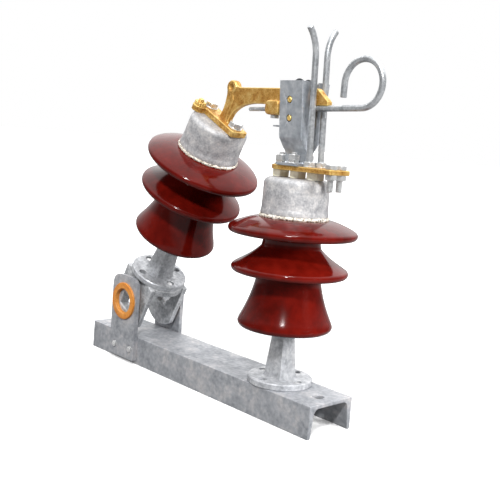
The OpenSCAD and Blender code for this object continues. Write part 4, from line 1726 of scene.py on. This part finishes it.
@dataclass
class BladeArm:
    """The cast brass blade with its arm, eye, lump and base plate, and its fasteners."""

    up: float = 97
    deep: float = 20
    thick: float = 8
    over: float = 41
    plate_t: float = 8
    plate_half: float = 13
    plate_end: float = 42
    bolt: float = 28.5
    jumper: tuple[float, float] = (31, 18)
    ear_r: float = 9
    eye_r: float = 9
    lump: tuple[float, float] = (80, 104)
    lump_half: float = 8
    lump_low: float = -13
    lump_high: float = 5

    @property
    def low(self) -> float:
        """Height of the bar's lower edge."""
        return LAY.base_h + LAY.post_h + self.up - self.deep / 2

    def outline(self) -> Profile:
        """Side view of the arm and the bar."""
        low, high = self.low, self.low + self.deep
        level = LAY.post_h + self.plate_t - 1
        left, right = LAY.over(-2, level), LAY.over(16, level)
        flare_l, flare_r = LAY.over(-9, level), LAY.over(22, level)
        eye = LAY.over(-2, LAY.post_h + 50)[0] + 1.5
        end = LAY.fixed_x + self.over
        r = self.eye_r
        above = LAY.over(-2, level + 9)
        points: Profile = [flare_l, *bend(flare_l, left, above, 4), above]
        points += bend(above, (eye - 12, low - 4), (eye - r, high - 8), 10)
        points += [(eye - r, high), *arc(eye, high, r, 180, 22, 14)]
        points += [*bend((eye + r, high + 3), (eye + r + 1, high), (eye + r + 8, high), 5),
                   (eye + r + 8, high)]
        points += [(end - 18, high), (end, low + 5), (end, low), (eye + 56, low)]
        beside = LAY.over(15.5, level + 4)
        points += [*bend((eye + 56, low), (eye + 8, low + 2), beside, 14), beside,
                   *bend(beside, right, flare_r, 4), flare_r]
        return points

    def make_blade(self) -> None:
        """Extrudes the arm, joins the lump and the base plate, and melts them into one casting."""
        t = self.thick
        bar = Bench.slab("bar", self.outline(), t)
        Bench.move(bar, shift(y=t / 2) @ UPRIGHT)
        Bench.bevel(bar, 0.9, 2, 40)
        a, b, w = *self.lump, self.lump_half
        low, high = self.low + self.lump_low, self.low + self.lump_high
        side = rounded([(a, low, 7), (b, low, 4), (b, high, 5), (a, high, 7)], 6)
        lump = Bench.slab("lump", side, 2 * w)
        Bench.move(lump, shift(y=w) @ UPRIGHT)
        Bench.bevel(lump, 2.6, 4, 40)
        left = -self.jumper[0] - self.ear_r
        ear = [(x, y, 0.0) for x, y in arc(-self.jumper[0], -self.jumper[1], self.ear_r, 180, 360,
                                           14)]
        h = self.plate_half
        outline = rounded([*ear, (left + 2 * self.ear_r, -h, 0), (self.plate_end, -h, 4),
                           (self.plate_end, h, 4), (left, h, 3)], 4)
        plate = Bench.slab("plate", outline, self.plate_t)
        Bench.move(plate, LAY.tilted @ shift(z=LAY.post_h))
        eye = LAY.over(-2, LAY.post_h + 50)[0] + 1.5
        rib = Bench.drum("knob", self.eye_r - 0.5, t + 3, 40)
        Bench.move(rib, shift(eye, (t + 3) / 2, self.low + self.deep) @ UPRIGHT)
        spine = self.make_spine(eye)
        Bench.cut(bar, lump, plate, rib, spine, how="UNION")
        for sign in (-1, 1):
            dimple = Bench.lathe("dimple", [(0, -3.2), (3.4, -2), (4.6, 0), (4.6, 4), (0, 4)], 28)
            Bench.cut(bar,
                      Bench.move(dimple,
                                 shift(eye, sign * (t + 3) / 2,
                                       self.low + self.deep) @ turn(-90 * sign, "X")))
        horn = MovingHorn()
        groove = Bench.drum("groove", horn.r, 200, 32)
        along = shift(horn.start, 0, horn.low) @ turn(90 - horn.rise, "Y")
        Bench.cut(bar, Bench.move(groove, along @ shift(z=horn.tail)))
        Bench.cast(bar, 0.7, 4, (4, 0.3))
        deliver(bar, "blade_skin", "brass", POST, "brass", "blade")

    def make_spine(self, eye: float) -> bpy.types.Object:
        """A raised rib from the eye down the arm to the base plate.

        Args:
            eye: place of the eye along the channel.

        Returns:
            The rib.
        """
        foot = LAY.over(5, LAY.post_h + self.plate_t - 2)
        foot_end = LAY.over(13, LAY.post_h + self.plate_t - 2)
        high = self.low + self.deep
        shape = [foot, (eye - 2.5, self.low + 2), (eye - 3, high - 2), (eye + 3.5, high - 2),
                 (eye + 5, self.low + 3), foot_end]
        rib = Bench.slab("spine", shape, self.thick + 3)
        Bench.move(rib, shift(y=(self.thick + 3) / 2) @ UPRIGHT)
        Bench.bevel(rib, 1.4, 3, 40)
        return rib

    def make_bolts(self) -> None:
        """The two bolts through the base plate."""
        parts = []
        for x, spin in ((-self.bolt, 20), (self.bolt, 3)):
            washer = Fasteners.washer(9.5, 4.8, 1.6)
            head = Bench.move(Fasteners.nut(Thread.M10, HEAD_T, spin), shift(z=1.6))
            shank = Fasteners.shank(4.9, -self.plate_t - 6, 1)
            place = shift(x, 0, LAY.post_h + self.plate_t)
            parts += [Bench.move(o, place) for o in (washer, head, shank)]
        bolts = Bench.bundle("bolts", parts)
        deliver(Bench.move(bolts, LAY.tilted), "blade_bolts_skin", "zinc_bolt", POST, "galvanised",
                "blade_bolts")

    def make_jumper(self, teeth: int = 12) -> None:
        """The serrated brass nut on the jumper's stud.

        Args:
            teeth: number of teeth round the nut.
        """
        outline: Profile = []
        for i in range(teeth * 2):
            r = 8 if i % 2 else 6.7
            for d in (-0.25, 0.25):
                a = math.pi * (i + d) / teeth
                outline.append((r * math.cos(a), r * math.sin(a)))
        nut = Bench.slab("star", outline, 5)
        dome = Bench.lathe("dome", [(0, -1), (8.4, -1), (8.4, 3.6), (6.6, 5.6), (0, 6)], 36)
        Bench.cut(nut, dome, how="INTERSECT")
        Bench.bevel(nut, 0.3, 1, 30)
        stud = Fasteners.shank(4, -self.plate_t, 9)
        whole = Bench.bundle("jumper", [nut, stud])
        Bench.move(whole, LAY.tilted @ shift(-self.jumper[0], -self.jumper[1],
                                             LAY.post_h + self.plate_t))
        deliver(whole, "jumper_stud_skin", "brass", POST, "brass", "jumper_stud")

    def build(self) -> None:
        """Builds the casting and its fasteners."""
        self.make_blade()
        self.make_bolts()
        self.make_jumper()


# ---------------------------------------------------------------- studio


@dataclass
class Studio:
    """Camera, floor and soft lights."""

    spot: Point = (0.8059, -0.7044, 0.3360)
    yaw: float = 46.35
    pitch: float = 7.79
    roll: float = 4.73
    lens: float = 57.58
    middle: Point = (0.0, 0.0, 0.2)
    sky: Point = (-0.25, 0.25, 0.93)
    floor_side: float = 60
    floor_white: float = 0.86
    bounce: float = 0.14
    shine: float = 0.35
    mirrored_gain: float = 2.2
    horizon: float = 0.07
    zenith: float = 0.95

    def make_camera(self) -> None:
        """Puts the camera at the view the object is shown from."""
        yaw, pitch, roll = (math.radians(a) for a in (self.yaw, self.pitch, self.roll))
        right = Vector((math.cos(yaw), math.sin(yaw), 0))
        ahead = Vector((-math.sin(yaw) * math.cos(pitch), math.cos(yaw) * math.cos(pitch),
                        -math.sin(pitch)))
        up = right.cross(ahead)
        tilted_right = math.cos(roll) * right + math.sin(roll) * up
        tilted_up = -math.sin(roll) * right + math.cos(roll) * up
        pose = Matrix((tilted_right, tilted_up, -ahead)).transposed().to_4x4()
        pose.translation = Vector(self.spot)
        data = bpy.data.cameras.new("view")
        data.lens = self.lens
        data.sensor_width = 36
        data.clip_start, data.clip_end = 0.05, 50
        camera = bpy.data.objects.new("view", data)
        camera.matrix_world = pose
        bpy.context.scene.collection.objects.link(camera)
        bpy.context.scene.camera = camera

    def make_floor(self) -> None:
        """A wide pale floor that fades to white further out and throws little light back."""
        Bench.clear()
        bpy.ops.mesh.primitive_plane_add(size=self.floor_side, location=(0, 0, 0))
        floor = bpy.context.active_object
        floor.name = "floor"
        paint = bpy.data.materials.new("floor")
        paint.use_nodes = True
        sheet = NodeSheet(paint.node_tree)
        shader = paint.node_tree.nodes["Principled BSDF"]
        path = sheet.add("ShaderNodeLightPath")
        seen, mirrored = path.outputs["Is Camera Ray"], path.outputs["Is Glossy Ray"]
        pale, dim = (self.floor_white,) * 3 + (1,), (self.bounce,) * 3 + (1,)
        sheet.feed(shader.inputs["Base Color"], sheet.mix(seen, dim, pale))
        shader.inputs["Roughness"].default_value = 0.95
        shader.inputs["Specular IOR Level"].default_value = 0.1
        shader.inputs["Emission Color"].default_value = (1, 1, 1, 1)
        place = sheet.add("ShaderNodeTexCoord").outputs["Object"]
        away = sheet.add("ShaderNodeVectorMath", {0: place}, operation="LENGTH")
        fade = sheet.levels(away.outputs["Value"], 0.25, 1.1, 0.25, 1.0)
        glow = sheet.maths("MULTIPLY", mirrored, self.shine)
        sheet.feed(shader.inputs["Emission Strength"],
                   sheet.maths("ADD", sheet.maths("MULTIPLY", fade, seen), glow))
        floor.data.materials.append(paint)

    def add_light(self, name: str, spot: Point, size: float, watts: float,
                  mirrored: bool = False) -> None:
        """A square soft light that looks at the object's middle.

        Args:
            name: its name.
            spot: where it stands, in metres.
            size: length of its side.
            watts: its power.
            mirrored: whether shiny skins mirror it.
        """
        data = bpy.data.lights.new(name, "AREA")
        data.size = size
        data.energy = watts
        light = bpy.data.objects.new(name, data)
        light.location = spot
        light.visible_glossy = mirrored
        aim = Vector(self.middle) - Vector(spot)
        light.rotation_mode = "QUATERNION"
        light.rotation_quaternion = aim.to_track_quat("-Z", "Y")
        bpy.context.scene.collection.objects.link(light)

    def make_world(self) -> None:
        """A surround that looks white, and lights dimly in front, brightly above and behind."""
        world = bpy.data.worlds.new("surround")
        world.use_nodes = True
        bpy.context.scene.world = world
        sheet = NodeSheet(world.node_tree)
        back = world.node_tree.nodes["Background"]
        back.inputs["Color"].default_value = (1, 1, 1, 1)
        around = sheet.add("ShaderNodeTexCoord").outputs["Generated"]
        toward = sheet.add("ShaderNodeVectorMath", {0: around, 1: self.sky},
                           operation="DOT_PRODUCT")
        glow = sheet.levels(toward.outputs["Value"], 0.25, 0.8, self.horizon, self.zenith)
        path = sheet.add("ShaderNodeLightPath")
        gain = sheet.levels(path.outputs["Is Glossy Ray"], 0, 1, 1, self.mirrored_gain)
        glow = sheet.maths("MULTIPLY", glow, gain)
        sheet.feed(back.inputs["Strength"], sheet.maths("MAXIMUM", path.outputs["Is Camera Ray"],
                                                        glow))

    def build(self) -> None:
        """Sets up the whole studio."""
        self.make_camera()
        self.make_floor()
        self.make_world()
        self.add_light("key", (1.3, -1.5, 1.75), 0.25, 46, True)
        self.add_light("spark", (1.0, -0.7, 2.2), 0.22, 14, True)
        self.add_light("right", (1.9, 0.5, 0.75), 0.6, 44)
        self.add_light("left", (-1.1, -1.7, 0.7), 0.8, 13)
        bpy.context.scene.view_settings.view_transform = "Standard"


def main() -> None:
    """Builds every assembly in order."""
    Studio().build()
    channel, carrier = Channel(), Carrier()
    channel.build()
    for side in Side:
        BearingPlate(side).build()
    PostInsulator("fixed", BASE, LAY.fixed).build(channel.web, "fixed_foot_bolts")
    PostInsulator("tilting", POST, LAY.tilted).build(carrier.plate_t, "carrier_bolts")
    Terminal().build()
    Contact().build()
    for side in Side:
        FixedHorn(side).build()
    build_horn_nuts(FixedHorn(Side.NEAR))
    carrier.build()
    BladeArm().build()
    MovingHorn().build()


if __name__ == "__main__":
    main()
